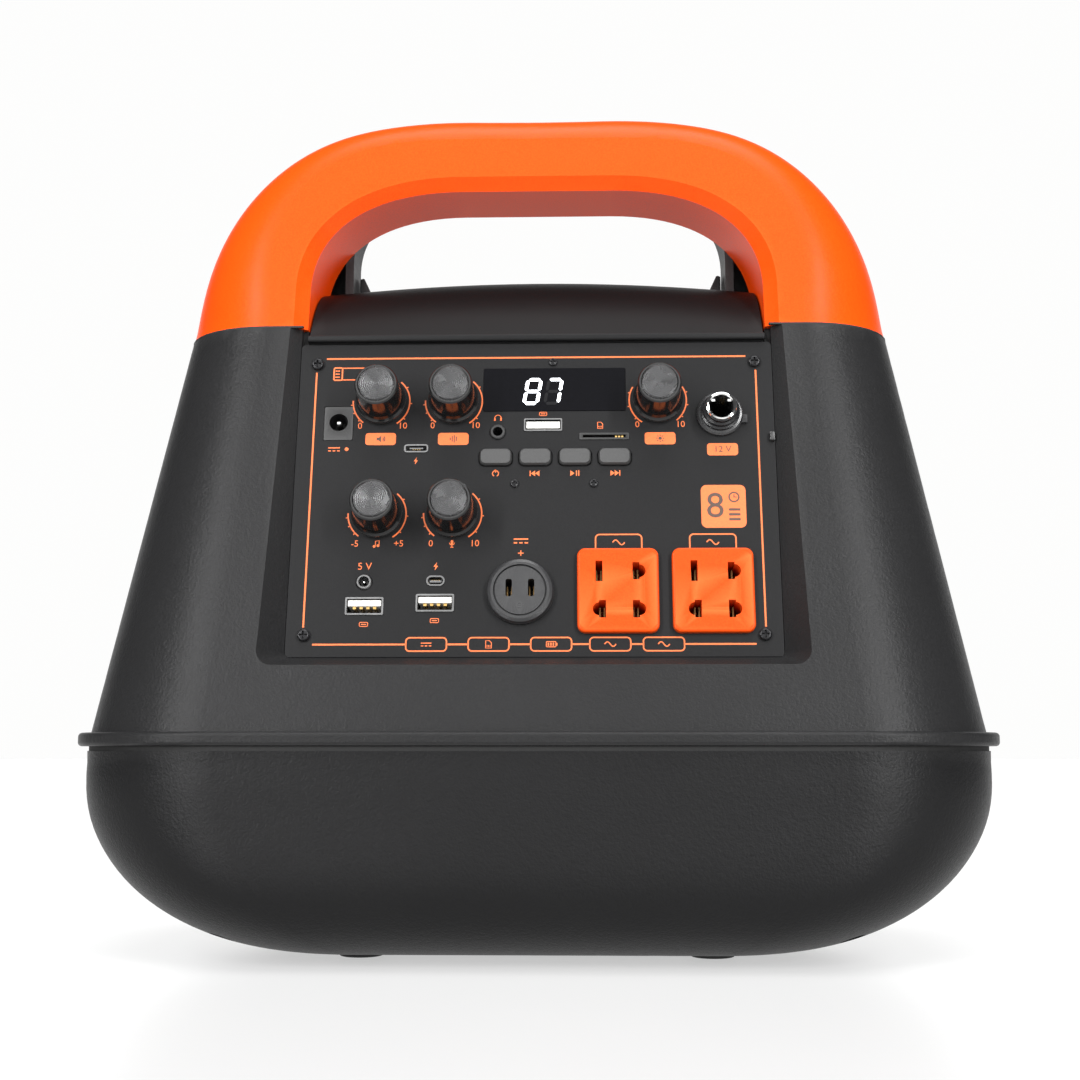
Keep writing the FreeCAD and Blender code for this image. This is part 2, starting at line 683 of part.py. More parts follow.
def make_upper_shell():
    outer = shell_form(0.0, BAND_Z, SEAM_Z)
    inner = shell_form(WALL, BAND_Z - BEYOND, SEAM_Z - WALL)
    tray = recess(TRAY_WALL, -PANEL_THICK - TRAY_WALL).common(outer)
    tray_boss = cyl(TRAY_BOSS_R, -TRAY_BOSS_DEPTH, -PANEL_THICK)
    tray_bosses = fuse([on_panel(tray_boss, spot) for spot in CORNER_SCREWS])
    shell = outer.cut(inner).cut(side_vents())
    for piece in [tray, tray_bosses, fan_posts(outer), make_band()] + shell_screw_bosses():
        shell = shell.fuse(piece)
    cuts = [recess(0.0, -PANEL_THICK), tray_window(), deck_notch()]
    for x, y in four_spots(CASE_SCREW_XY):
        cuts.append(cyl(CASE_SCREW_R, BAND_Z - BEYOND, CASE_HOLE_TOP_Z, x, y))
    cuts += [on_panel(cyl(PANEL_SCREW_R, BEYOND - TRAY_BOSS_DEPTH, 0.0), spot) for spot in CORNER_SCREWS]
    cuts.append(on_rear(cyl(SPEAKER_HOLE_R, -4 * WALL, 2 * WALL)))
    for cut in cuts:
        shell = shell.cut(cut)
    save("upper_shell", shell)


def cross_screw(length):
    """Cross-recess case screw along +Z, its head seated at the origin below the shank."""
    low, half, slot = -CASE_SCREW_HEAD_HEIGHT, CASE_SCREW_CROSS_HALF, CASE_SCREW_CROSS_SLOT
    head = cyl(CASE_SCREW_HEAD_R, low, 0.0)
    floor = low + CASE_SCREW_CROSS_DEPTH
    head = head.cut(box(-half, half, -slot, slot, low - BEYOND, floor))
    head = head.cut(box(-slot, slot, -half, half, low - BEYOND, floor))
    return head.fuse(cyl(CASE_SCREW_R, 0.0, length))


def make_case_screws():
    screws = []
    for x, y in four_spots(CASE_SCREW_XY):
        screw = cross_screw(CASE_SCREW_TIP_Z - CASE_WELL_TOP_Z)
        screw.translate(V(x, y, CASE_WELL_TOP_Z))
        screws.append(screw)
    for x, z in HANDLE_SCREWS:
        seat = rear_face(z) - HANDLE_WELL_DEPTH
        screw = cross_screw(seat - HANDLE_SCREW_TIP_Y)
        screw.rotate(V(), V(1, 0, 0), 90)
        screw.translate(V(x, seat, z))
        screws.append(screw)
    save("case_screws", Part.makeCompound(screws))


# ---------------------------------------------------------------- handle
def rear_face(z):
    return SHELL_HALF_DEPTH - FACE_TAPER * (z - BAND_TOP_Z)


def arch_form(inset):
    """Whole handle without its opening, through sections square to the arch."""
    foot_width, _, foot_corner = shell_size(SEAM_Z)
    stations = [((HANDLE_INNER_BEND[0][0], SEAM_Z), (foot_width, SEAM_Z), 0.0)]
    for t in HANDLE_SECTIONS:
        inner, outer = bezier_value(HANDLE_INNER_BEND, t), bezier_value(HANDLE_OUTER_BEND, t)
        stations.append((inner, outer, mix(HANDLE_ROUND_START, 1.0, t)))
    top_z = HANDLE_INNER_BEND[-1][1]
    stations.append(((HANDLE_TOP_INNER_X, top_z), (HANDLE_TOP_OUTER_X, HANDLE_TOP_Z), 1.0))
    left_side = [((-i[0], i[1]), (-o[0], o[1]), k) for i, o, k in stations]
    wires = []
    for (xi, zi), (xo, zo), share in left_side + stations[::-1]:
        along = V(xo - xi, 0, zo - zi).normalize()
        base, tip = V(xi, 0, zi), V(xo, 0, zo) - along * inset
        radius = mix(foot_corner, HANDLE_TOP_ROUND, share) - inset
        near, far = rear_face(base.z) - inset, rear_face(tip.z) - inset
        radius = min(radius, far - SIDE_FLAT / 2)
        lean = math.atan2(near - far, (tip - base).Length)
        reach = radius * math.tan((math.pi / 2 - lean) / 2)
        front_line = (tip - along * (reach * math.cos(lean)))
        front_y = far + reach * math.sin(lean)
        centre = tip - along * radius
        centre_y = far - reach
        diagonal = math.pi / 4 + lean / 2
        middle = centre + along * (radius * math.cos(diagonal))
        middle_y = centre_y + radius * math.sin(diagonal)
        points = [base + V(0, -near, 0), front_line + V(0, -front_y, 0), middle + V(0, -middle_y, 0),
                  tip + V(0, -centre_y, 0), tip + V(0, centre_y, 0), middle + V(0, middle_y, 0),
                  front_line + V(0, front_y, 0), base + V(0, near, 0)]
        wires.append(Part.Wire([
            Part.LineSegment(points[0], points[1]).toShape(),
            Part.Arc(points[1], points[2], points[3]).toShape(),
            Part.LineSegment(points[3], points[4]).toShape(),
            Part.Arc(points[4], points[5], points[6]).toShape(),
            Part.LineSegment(points[6], points[7]).toShape(),
            Part.LineSegment(points[7], points[0]).toShape()]))
    form = Part.makeLoft(wires, True, False)
    if form.Volume < 0:
        form.reverse()
    return form


def opening_wire(half, roof, bend_z, flat, grow, y_of):
    """Outline of the hand opening; y_of gives the depth at each height."""
    foot = SEAM_Z - 30.0

    def at(x, z):
        return V(x, y_of(z), z)

    side, top = half + grow, roof + grow
    bend = [(side, bend_z), (side, mix(bend_z, roof, OPENING_BEND_SHARE)),
            (mix(half, flat, OPENING_SHOULDER) + grow, top), (flat, top)]
    right = bezier([at(x, z) for x, z in bend])
    left = bezier([at(-x, z) for x, z in reversed(bend)])
    edges = [Part.LineSegment(at(side, foot), at(side, bend_z)).toShape(), right,
             Part.LineSegment(at(flat, top), at(-flat, top)).toShape(), left,
             Part.LineSegment(at(-side, bend_z), at(-side, foot)).toShape(),
             Part.LineSegment(at(-side, foot), at(side, foot)).toShape()]
    return Part.Wire(edges)


def opening_prism(opening, grow):
    wire = opening_wire(*opening, grow, lambda z: -FAR)
    return Part.Face(wire).extrude(V(0, 2 * FAR, 0))


def opening_chamfer():
    cut = HANDLE_CHAMFER
    proud = 2 * BEYOND
    outside = opening_wire(*FRONT_OPENING, cut + proud, lambda z: -rear_face(z) - proud)
    inside = opening_wire(*FRONT_OPENING, 0.0, lambda z: -rear_face(z) + cut)
    return Part.makeLoft([outside, inside], True, True)


def handle_bosses(y0, y1):
    return fuse([along_y(HANDLE_BOSS_R, y0, y1, x, z) for x, z in HANDLE_SCREWS])


def make_handle():
    arch = arch_form(0.0)
    core = arch_form(HANDLE_WALL)
    above = SEAM_Z + FAR
    front_half = box(-FAR, FAR, -FAR, HANDLE_SPLIT_Y, SEAM_Z, above)
    rear_half = box(-FAR, FAR, HANDLE_SPLIT_Y + GAP, FAR, SEAM_Z, above)
    front = arch.common(front_half).cut(opening_prism(FRONT_OPENING, 0.0)).cut(opening_chamfer())
    cavity = core.cut(opening_prism(FRONT_OPENING, HANDLE_WALL))
    bosses = handle_bosses(-FAR, HANDLE_SPLIT_Y).common(front)
    hollow = front.cut(cavity).fuse(bosses)
    holes = fuse([along_y(CASE_SCREW_R, HANDLE_HOLE_TIP_Y, FAR, x, z) for x, z in HANDLE_SCREWS])
    save("handle_front", hollow.cut(holes))

    rear = arch.common(rear_half).cut(opening_prism(REAR_OPENING, 0.0))
    cavity = core.cut(opening_prism(REAR_OPENING, HANDLE_WALL))
    cavity = cavity.common(box(-FAR, FAR, -FAR, FAR, SEAM_Z - BEYOND, above))
    hollow = rear.cut(cavity).fuse(handle_bosses(HANDLE_SPLIT_Y + GAP, FAR).common(rear))
    wells = []
    for x, z in HANDLE_SCREWS:
        wells.append(along_y(CASE_WELL_R, rear_face(z) - HANDLE_WELL_DEPTH, FAR, x, z))
    wells = fuse(wells)
    save("handle_rear_cover", hollow.cut(holes.fuse(wells)))


def deck_form(half_width, inset):
    """Cambered deck between the handle legs through sections across its width."""
    wires = []
    for share in DECK_SECTIONS:
        crest = DECK_CREST_Z - DECK_CAMBER * share ** 2 - inset
        front, rear = DECK_FRONT_Y + inset, rear_face(DECK_Z) - inset
        x = share * half_width
        foot = DECK_Z - (BEYOND if inset else 0.0)
        lip = DECK_LIP_Z
        rise = [(front, lip), (front + DECK_LIP_RUN, lip + DECK_LIP_RISE), (DECK_FRONT_SWELL_Y, crest),
                (DECK_CREST_Y, crest)]
        fall = [(DECK_CREST_Y, crest), (DECK_REAR_SWELL_Y, crest), (rear - DECK_REAR_EASE, DECK_REAR_EASE_Z),
                (rear, DECK_REAR_LIP_Z)]
        wires.append(Part.Wire([
            Part.LineSegment(V(x, front, foot), V(x, front, lip)).toShape(),
            bezier([V(x, y, z) for y, z in rise]),
            bezier([V(x, y, z) for y, z in fall]),
            Part.LineSegment(V(x, rear, DECK_REAR_LIP_Z), V(x, rear, foot)).toShape(),
            Part.LineSegment(V(x, rear, foot), V(x, front, foot)).toShape()]))
    return Part.makeLoft(wires, True, False)


def make_deck():
    half = LEG_INNER_X - DECK_SIDE_GAP
    post = POST_INNER_X - GAP
    cheek = post - DECK_WALL
    front_y = HANDLE_SPLIT_Y - DECK_WALL
    top = DECK_TRIM_TOP_Z
    solid = deck_form(half, 0.0).cut(deck_form(half - DECK_WALL, DECK_WALL))
    beside_posts = []
    cheeks = []
    for side in (-1, 1):
        x0, x1 = sorted((side * post, side * FAR))
        beside_posts.append(box(x0, x1, HANDLE_SPLIT_Y, FAR, DECK_Z - BEYOND, top))
        x0, x1 = sorted((side * post, side * cheek))
        cheeks.append(box(x0, x1, front_y, FAR, DECK_Z, top).common(deck_form(half, 0.0)))
        x0, x1 = sorted((side * cheek, side * half))
        cheeks.append(box(x0, x1, front_y, HANDLE_SPLIT_Y, DECK_Z, top).common(deck_form(half, 0.0)))
    save("top_deck", solid.cut(fuse(beside_posts)).multiFuse(cheeks))


# ---------------------------------------------------------------- control panel
def button_spots():
    return [(u, BUTTON_V) for u in BUTTONS.values()]


def round_cut(radius, spot):
    """Round hole through the panel sheet and its bosses."""
    return cyl(radius, -PANEL_CUT_DEPTH, BEYOND, *spot)


def square_cut(size, corner, spot):
    """Hole for a rounded rectangular part with a running gap all round."""
    width, height = size
    return plate(width + 2 * GAP, height + 2 * GAP, corner, -PANEL_CUT_DEPTH, BEYOND, spot)


def make_panel():
    sheet = plate(PANEL_WIDTH, PANEL_HEIGHT, PANEL_CORNER, -PANEL_THICK, 0.0, (0.0, PANEL_HEIGHT / 2))
    bosses = [cyl(BOARD_BOSS_R, -BOARD_BOSS_DEPTH, -PANEL_THICK, *spot) for spot in BOARD_SCREWS]
    cuts = [round_cut(BUSHING_R + GAP, spot) for spot in KNOBS.values()]
    for spot in button_spots():
        cuts.append(plate(*BUTTON_HOLE, BUTTON_HOLE_CORNER, -PANEL_CUT_DEPTH, BEYOND, spot))
    cuts += [round_cut(PANEL_SCREW_R, spot) for spot in CORNER_SCREWS]
    cuts += [round_cut(BOARD_SCREW_R, spot) for spot in BOARD_SCREWS]
    cuts += [square_cut(AC_BODY, AC_BODY_CORNER, spot) for spot in AC_OUTLETS.values()]
    cuts += [square_cut(USB_A_SIZE, PORT_HOLE_CORNER, spot) for spot in USB_A_PORTS.values()]
    cuts.append(plate(DC_IN_HOLE[0], DC_IN_HOLE[1], DC_IN_CORNER, -PANEL_CUT_DEPTH, BEYOND, DC_IN))
    cuts.append(square_cut(MICRO_SIZE, MICRO_CORNER, MICRO_USB))
    cuts.append(plate(*DISPLAY_SIZE, DISPLAY_CORNER, -PANEL_CUT_DEPTH, BEYOND, DISPLAY))
    cuts.append(square_cut(MEDIA_SIZE, PORT_CORNER, MEDIA_USB))
    cuts.append(square_cut(CARD_SIZE, PORT_CORNER, CARD_SLOT))
    cuts.append(square_cut(TYPE_C_SIZE, TYPE_C_CORNER, TYPE_C))
    cuts.append(round_cut(JACK_R + GAP, AUX_JACK))
    cuts.append(round_cut(JACK_R + GAP, DC5_JACK))
    cuts.append(round_cut(DC12_BODY_R + GAP, DC12_SOCKET))
    cuts.append(round_cut(ROUND_OUTLET_BODY_R + GAP, ROUND_OUTLET))
    save("control_panel", on_panel(fuse([sheet] + bosses).cut(fuse(cuts))))


def pan_screw(head_r, head_h, shank_r, length):
    """Cross-recess pan-head screw, head on the face, shank inwards."""
    head = cyl(head_r, 0.0, head_h)
    edge = [e for e in head.Edges if e.BoundBox.ZMin > head_h - EDGE_FLATNESS]
    head = head.makeFillet(head_h * PAN_ROUND_SHARE, edge)
    reach, floor, top = head_r * PAN_CROSS_SHARE, head_h * PAN_FLOOR_SHARE, head_h + BEYOND
    head = head.cut(box(-reach, reach, -PAN_SLOT_HALF, PAN_SLOT_HALF, floor, top))
    head = head.cut(box(-PAN_SLOT_HALF, PAN_SLOT_HALF, -reach, reach, floor, top))
    return head.fuse(cyl(shank_r, -length, 0.0))


def make_panel_screws():
    corner = pan_screw(*PANEL_SCREW_HEAD, PANEL_SCREW_R, PANEL_SCREW_LENGTH)
    small = pan_screw(*BOARD_SCREW_HEAD, BOARD_SCREW_R, BOARD_SCREW_LENGTH)
    save("panel_screws", Part.makeCompound([on_panel(corner, s) for s in CORNER_SCREWS]))
    save("board_screws", Part.makeCompound([on_panel(small, s) for s in BOARD_SCREWS]))


def make_knobs():
    dish = KNOB_TOP - KNOB_DISH_DEPTH
    body = turned([(SHAFT_R, SHAFT_TOP), (0, SHAFT_TOP), (0, dish), (KNOB_DISH_R, dish),
                   (KNOB_DISH_R, KNOB_TOP - KNOB_RIM_DROP), (KNOB_RIM_R, KNOB_TOP - KNOB_RIM_DROP)]
                  + KNOB_SIDE + [(KNOB_R, KNOB_BASE_Z), (KNOB_BORE_R, KNOB_BASE_Z),
                                 (KNOB_BORE_R, KNOB_BORE_TOP), (SHAFT_R, KNOB_BORE_TOP)])
    pointer = box(-KNOB_POINTER_HALF, KNOB_POINTER_HALF, KNOB_POINTER_R, KNOB_R, KNOB_POINTER_FOOT, KNOB_TOP)
    body = body.cut(pointer)
    cap_r = KNOB_DISH_R - KNOB_CAP_GAP
    cap = turned([(0, dish), (cap_r, dish), (cap_r, KNOB_TOP - KNOB_CAP_EDGE),
                  (cap_r - KNOB_CAP_EDGE, KNOB_TOP), (0, KNOB_TOP)])
    shaft = cyl(SHAFT_R, -SHAFT_FOOT, SHAFT_TOP)
    nut = turned([(BUSHING_R, 0.0), (NUT_R, 0.0), (NUT_R, NUT_HEIGHT), (BUSHING_R, NUT_HEIGHT)])
    can = plate(*POT_SIZE, POT_CORNER, -POT_DEPTH, -PANEL_THICK)
    pot = fuse([can, cyl(BUSHING_R, -PANEL_THICK, BUSHING_TOP), nut])
    pot = pot.cut(cyl(SHAFT_R + SHAFT_CLEARANCE, -SHAFT_BORE_DEPTH, BUSHING_TOP + BEYOND))
    for name, spot in KNOBS.items():
        save("knob_" + name, on_panel(body, spot))
        save("knob_cap_" + name, on_panel(cap, spot))
        save("knob_shaft_" + name, on_panel(shaft, spot))
    save("potentiometers", Part.makeCompound([on_panel(pot, s) for s in KNOBS.values()]))


def make_buttons():
    width, height = BUTTON_SIZE
    top_width, top_height = BUTTON_TOP_SIZE
    foot = plate(width, height, BUTTON_CORNER, -BUTTON_COLLAR_FACE, BUTTON_SHOULDER)
    low = rounded_rect(width / 2, height / 2, BUTTON_CORNER, BUTTON_SHOULDER)
    high = rounded_rect(top_width / 2, top_height / 2, BUTTON_TOP_CORNER, BUTTON_TOP)
    crown = Part.makeLoft([low, high], True, True)
    collar = plate(*BUTTON_COLLAR, BUTTON_HOLE_CORNER, -BUTTON_COLLAR_BACK, -BUTTON_COLLAR_FACE)
    stem = cyl(BUTTON_STEM_R, -BUTTON_STEM_TIP, -BUTTON_COLLAR_BACK)
    cap = fuse([crown, foot, collar, stem])
    for name, u in BUTTONS.items():
        save("button_" + name, on_panel(cap, (u, BUTTON_V)))


def make_display():
    width, height = DISPLAY_SIZE
    lens = plate(width - 2 * GAP, height - 2 * GAP, DISPLAY_CORNER - GAP, -DISPLAY_LENS_BACK, DISPLAY_PROUD)
    inset = 2 * DISPLAY_MODULE_INSET
    front = -DISPLAY_LENS_BACK - GAP
    module = plate(width - inset, height - inset, DISPLAY_CORNER / 2, -DISPLAY_BACK, front)
    save("display_window", on_panel(lens, DISPLAY))
    save("display_module", on_panel(module, DISPLAY))


def hollow_port(size, corner, wall, depth, tongue):
    """Open-mouthed metal shell with the contact tongue standing on its floor."""
    width, height = size
    shell = plate(width, height, corner, -depth, PORT_PROUD)
    mouth = plate(width - 2 * wall, height - 2 * wall, max(corner - wall, PORT_MOUTH_CORNER),
                  -depth + BEYOND, BEYOND)
    half, low, high = tongue
    return shell.cut(mouth).fuse(box(-half, half, low, high, -depth + BEYOND, -TONGUE_SUNK))


def make_small_ports():
    tip = (0.0, DC_IN_RISE)
    barrel = plate(*DC_IN_SIZE, PORT_CORNER, -PORT_BACK, 0.0)
    barrel = barrel.cut(cyl(DC_IN_BORE_R, -DC_IN_DEPTH, BEYOND, *tip))
    save("dc_in_socket", on_panel(barrel.fuse(cyl(DC_IN_PIN_R, -DC_IN_DEPTH, -DC_IN_PIN_SUNK, *tip)), DC_IN))

    micro = hollow_port(MICRO_SIZE, MICRO_CORNER, MICRO_WALL, MICRO_DEPTH, MICRO_TONGUE)
    save("micro_usb_port", on_panel(micro, MICRO_USB))
    media = hollow_port(MEDIA_SIZE, PORT_CORNER, MEDIA_WALL, PORT_BACK, MEDIA_TONGUE)
    save("media_usb_port", on_panel(media, MEDIA_USB))
    type_c = hollow_port(TYPE_C_SIZE, TYPE_C_CORNER, TYPE_C_WALL, TYPE_C_DEPTH, TYPE_C_TONGUE)
    save("type_c_port", on_panel(type_c, TYPE_C))
    usb = hollow_port(USB_A_SIZE, PORT_CORNER, USB_A_WALL, USB_A_DEPTH, USB_A_TONGUE)
    for side, spot in USB_A_PORTS.items():
        save("usb_a_port_" + side, on_panel(usb, spot))

    rim = turned([(AUX_BORE_R, 0.0), (JACK_R, 0.0), (JACK_R, JACK_PROUD / 2), (JACK_RIM_R, JACK_PROUD),
                  (AUX_BORE_R, JACK_PROUD)])
    block = plate(*AUX_BODY, PORT_CORNER, -PORT_BACK, -PANEL_THICK)
    jack = fuse([block, cyl(JACK_R, -PANEL_THICK, 0.0), rim])
    save("aux_jack", on_panel(jack.cut(cyl(AUX_BORE_R, -PORT_BORE, 2 * BEYOND)), AUX_JACK))

    half_width, half_height = CARD_OPENING
    slot = plate(*CARD_SIZE, CARD_CORNER, -PORT_BACK, PORT_PROUD)
    slot = slot.cut(box(-half_width, half_width, -half_height, half_height, -PORT_BORE, BEYOND))
    save("card_slot", on_panel(slot, CARD_SLOT))

    barrel = turned([(DC5_BORE_R, -DC5_DEPTH), (JACK_R, -DC5_DEPTH), (JACK_R, JACK_PROUD / 2),
                     (JACK_RIM_R, JACK_PROUD), (DC5_BORE_R, JACK_PROUD)])
    floor = cyl(JACK_R, -DC5_DEPTH - BEYOND, -DC5_DEPTH)
    pin = cyl(DC5_PIN_R, -DC5_DEPTH, -BEYOND)
    save("dc5_jack", on_panel(fuse([barrel, floor, pin]), DC5_JACK))


def make_dc12_socket():
    bore_floor, back = -DC12_DEPTH, -DC12_DEPTH - 2 * BEYOND
    body = turned([(DC12_BORE_R, bore_floor), (0, bore_floor), (0, back), (DC12_BODY_R, back),
                   (DC12_BODY_R, 0.0), (DC12_FLANGE_R, 0.0)] + DC12_STEPS
                  + [(DC12_BORE_R, DC12_STEPS[-1][1])])
    tab = box(DC12_BODY_R, *DC12_TAB)
    save("dc12_socket_body", on_panel(body.fuse(tab), DC12_SOCKET))
    ring = turned([(DC12_BORE_R, DC12_STEPS[-1][1])] + DC12_RING)
    save("dc12_socket_ring", on_panel(ring, DC12_SOCKET))


def make_round_outlet():
    body = turned([(0, -ROUND_OUTLET_DEPTH), (ROUND_OUTLET_BODY_R, -ROUND_OUTLET_DEPTH),
                   (ROUND_OUTLET_BODY_R, 0.0)] + ROUND_OUTLET_FACE)
    for side in (-1, 1):
        spot = (side * ROUND_SLOT_SPACING / 2, ROUND_SLOT_RISE)
        body = body.cut(plate(*ROUND_SLOT, ROUND_SLOT_CORNER, -ROUND_SLOT_DEPTH, ROUND_SLOT_TOP, spot))
    save("round_outlet", on_panel(body, ROUND_OUTLET))


def ac_contacts():
    """The four openings of a two-pin outlet; three also take round pins."""
    low, high = -AC_CONTACT_DEPTH, AC_FACE_HEIGHT + BEYOND
    half = AC_BLADE_HALF_WIDTH
    blade = box(-half, half, -AC_BLADE_HALF_TALL, AC_BLADE_HALF_TALL, low, high)
    short_blade = box(-half, half, -AC_BLADE_HALF_SHORT, AC_BLADE_HALF_SHORT, low, high)
    right = short_blade.fuse(cyl(AC_LOBE_R, low, high, AC_LOBE_OFFSET, 0.0))
    left = right.copy()
    left.rotate(V(), V(0, 0, 1), 180)
    openings = []
    for shape, spot in zip((blade, right, left, right), AC_CONTACTS):
        moved = shape.copy()
        moved.translate(V(*spot, 0))
        openings.append(moved)
    return fuse(openings)


def make_ac_outlets():
    face = plate(*AC_SIZE, AC_CORNER, 0.0, AC_FACE_HEIGHT)
    rim = [e for e in face.Edges if e.BoundBox.ZMin > AC_FACE_HEIGHT - EDGE_FLATNESS]
    face = face.makeFillet(AC_FACE_ROUND, rim)
    body = plate(*AC_BODY, AC_BODY_CORNER, -AC_BODY_DEPTH, 0.0)
    outlet = face.fuse(body).cut(ac_contacts())
    for side, spot in AC_OUTLETS.items():
        save("ac_outlet_" + side, on_panel(outlet, spot))


def make_control_board():
    u0, u1, v0, v1, n0, n1 = CONTROL_BOARD
    board = box(u0, u1, v0, v1, n0, n1)
    half = SWITCH_HALF
    switches = [box(u - half, u + half, v - half, v + half, n1, SWITCH_TOP) for u, v in button_spots()]
    chips = [box(*area, n0 - CHIP_HEIGHT, n0) for area in BOARD_CHIPS]
    save("control_board", on_panel(fuse([board] + switches + chips)))


# ---------------------------------------------------------------- inner works
def make_battery():
    x0, x1, y0, y1, z0, z1 = BATTERY
    pack = box(x0, x1, y0, y1, z0, z1)
    rounded = [e for e in pack.Edges if max(e.BoundBox.ZLength, e.BoundBox.XLength) > BEYOND]
    save("battery_pack", pack.makeFillet(BATTERY_ROUND, rounded))
    thick, half = STRAP_THICK, STRAP_HALF
    foot_z = z0 - BEYOND
    bracket = [box(-half, half, y0 - thick, y1 + thick, z1, z1 + thick)]
    bracket.append(box(-half, half, y0 - thick, y0, foot_z, z1))
    bracket.append(box(-half, half, y1, y1 + thick, foot_z, z1))
    bracket.append(box(-half, half, y0 - STRAP_FOOT, y0, foot_z, foot_z + thick))
    bracket.append(box(-half, half, y1, y1 + STRAP_FOOT, foot_z, foot_z + thick))
    save("battery_bracket", fuse(bracket))
    face = BATTERY_BOARD[1]
    height, length, low, high = BATTERY_CHIP
    chips = [box(face, face + height, y, y + length, low, high) for y in BATTERY_CHIP_Y]
    save("battery_board", fuse([box(*BATTERY_BOARD)] + chips))


def make_inverter():
    x0, x1, y0, y1, z0, z1 = INVERTER_BOARD
    board = box(x0, x1, y0, y1, z0, z1)
    caps = [cyl(CAPACITOR_R, z1, z1 + CAPACITOR_HEIGHT, CAPACITOR_X, y) for y in CAPACITOR_Y]
    blocks = [box(*area, z1, z1 + height) for area, height in INVERTER_BLOCKS]
    save("inverter_board", fuse([board] + caps + blocks))

    x0, x1, y0, y1 = HEATSINK
    sink = [box(x0, x1, y0, y1, z1, z1 + HEATSINK_BASE)]
    for i in range(HEATSINK_FINS):
        near = y0 + HEATSINK_PITCH * i
        sink.append(box(x0, x1, near, near + HEATSINK_FIN, z1 + HEATSINK_BASE, z1 + HEATSINK_HEIGHT))
    save("heatsink", fuse(sink))

    core = box(*TRANSFORMER, z1, z1 + TRANSFORMER_HEIGHT)
    low, high = TRANSFORMER_WINDOW_Z
    for y0, y1 in TRANSFORMER_WINDOWS:
        core = core.cut(box(0.0, FAR, y0, y1, z1 + low, z1 + high))
    low, high = COIL_Z
    near, far = COIL_CORE_Y
    coil = box(*COIL, z1 + low, z1 + high)
    coil = coil.cut(box(TRANSFORMER[0], TRANSFORMER[1], near, far, 0.0, FAR))
    save("transformer", fuse([core, coil]))


def make_fan():
    x1 = FAN_X + FAN_THICK
    half = FAN_SIZE / 2
    frame = box(FAN_X, x1, -half, half, FAN_Z - half, FAN_Z + half)
    frame = frame.makeFillet(FAN_CORNER, [e for e in frame.Edges if e.BoundBox.XLength > BEYOND])
    frame = frame.cut(along_x(FAN_BORE_R, FAN_X - BEYOND, x1 + BEYOND, 0.0, FAN_Z))
    spoke_x = x1 - FAN_SPOKE_THICK
    reach, wide = half - BEYOND, FAN_SPOKE_HALF
    hub = along_x(FAN_HUB_R, spoke_x, x1, 0.0, FAN_Z)
    spokes = [box(spoke_x, x1, -reach, reach, FAN_Z - wide, FAN_Z + wide),
              box(spoke_x, x1, -wide, wide, FAN_Z - reach, FAN_Z + reach)]
    bore = along_x(FAN_SHAFT_R + SHAFT_CLEARANCE, FAN_X, x1 - FAN_BORE_FLOOR, 0.0, FAN_Z)
    frame = fuse([frame, hub] + spokes).cut(bore)
    for y, dz in four_spots((FAN_HOLE_SPACING, FAN_HOLE_SPACING)):
        frame = frame.cut(along_x(FAN_HOLE_R, FAN_X - BEYOND, x1 + BEYOND, y, FAN_Z + dz))
    save("fan_frame", frame)

    front, back = FAN_X + BEYOND, spoke_x - FAN_RUNNING_GAP
    rotor = [along_x(FAN_HUB_R, front, back, 0.0, FAN_Z),
             along_x(FAN_SHAFT_R, back - FAN_RUNNING_GAP, x1 - BEYOND, 0.0, FAN_Z)]
    middle = V((front + back) / 2, 0, FAN_Z)
    thick, chord = FAN_BLADE_HALF_THICK, FAN_BLADE_HALF_CHORD
    root, tip = FAN_Z + FAN_BLADE_ROOT_R, FAN_Z + FAN_SIZE
    for i in range(FAN_BLADES):
        blade = box(middle.x - thick, middle.x + thick, -chord, chord, root, tip)
        blade.rotate(middle, V(0, 0, 1), FAN_BLADE_ANGLE)
        blade.rotate(middle, V(1, 0, 0), 360.0 / FAN_BLADES * i)
        rotor.append(blade)
    sweep = along_x(ROTOR_R, front, x1, 0.0, FAN_Z)
    save("fan_rotor", fuse(rotor).common(sweep))


def make_speaker():
    seat = -WALL - GAP
    basket = seat - DRIVER_RIM_THICK
    magnet_r, throat_r = DRIVER_MAGNET_R, DRIVER_THROAT_R
    driver = turned([(0, -DRIVER_DEPTH), (magnet_r, -DRIVER_DEPTH), (magnet_r, -DRIVER_MAGNET_FACE),
                     (throat_r, -DRIVER_MAGNET_FACE), (DRIVER_BASKET_R, basket), (DRIVER_RIM_R, basket),
                     (DRIVER_RIM_R, seat), (DRIVER_OPENING_R, seat)] + DRIVER_CONE)
    save("speaker_driver", on_rear(driver))
    disc = turned([(0, 0), (GRILLE_R, 0)] + GRILLE_ROLL + [(0, GRILLE_HEIGHT)])
    slots = []
    above = GRILLE_HEIGHT + BEYOND
    for i in range(GRILLE_ROWS):
        y = (i - (GRILLE_ROWS - 1) / 2) * GRILLE_PITCH
        reach = math.sqrt((GRILLE_R - GRILLE_EDGE) ** 2 - y * y)
        slots.append(plate(2 * reach, GRILLE_SLOT, GRILLE_SLOT_CORNER, -BEYOND, above, (0.0, y)))
    save("speaker_grille", on_rear(disc.cut(fuse(slots))))


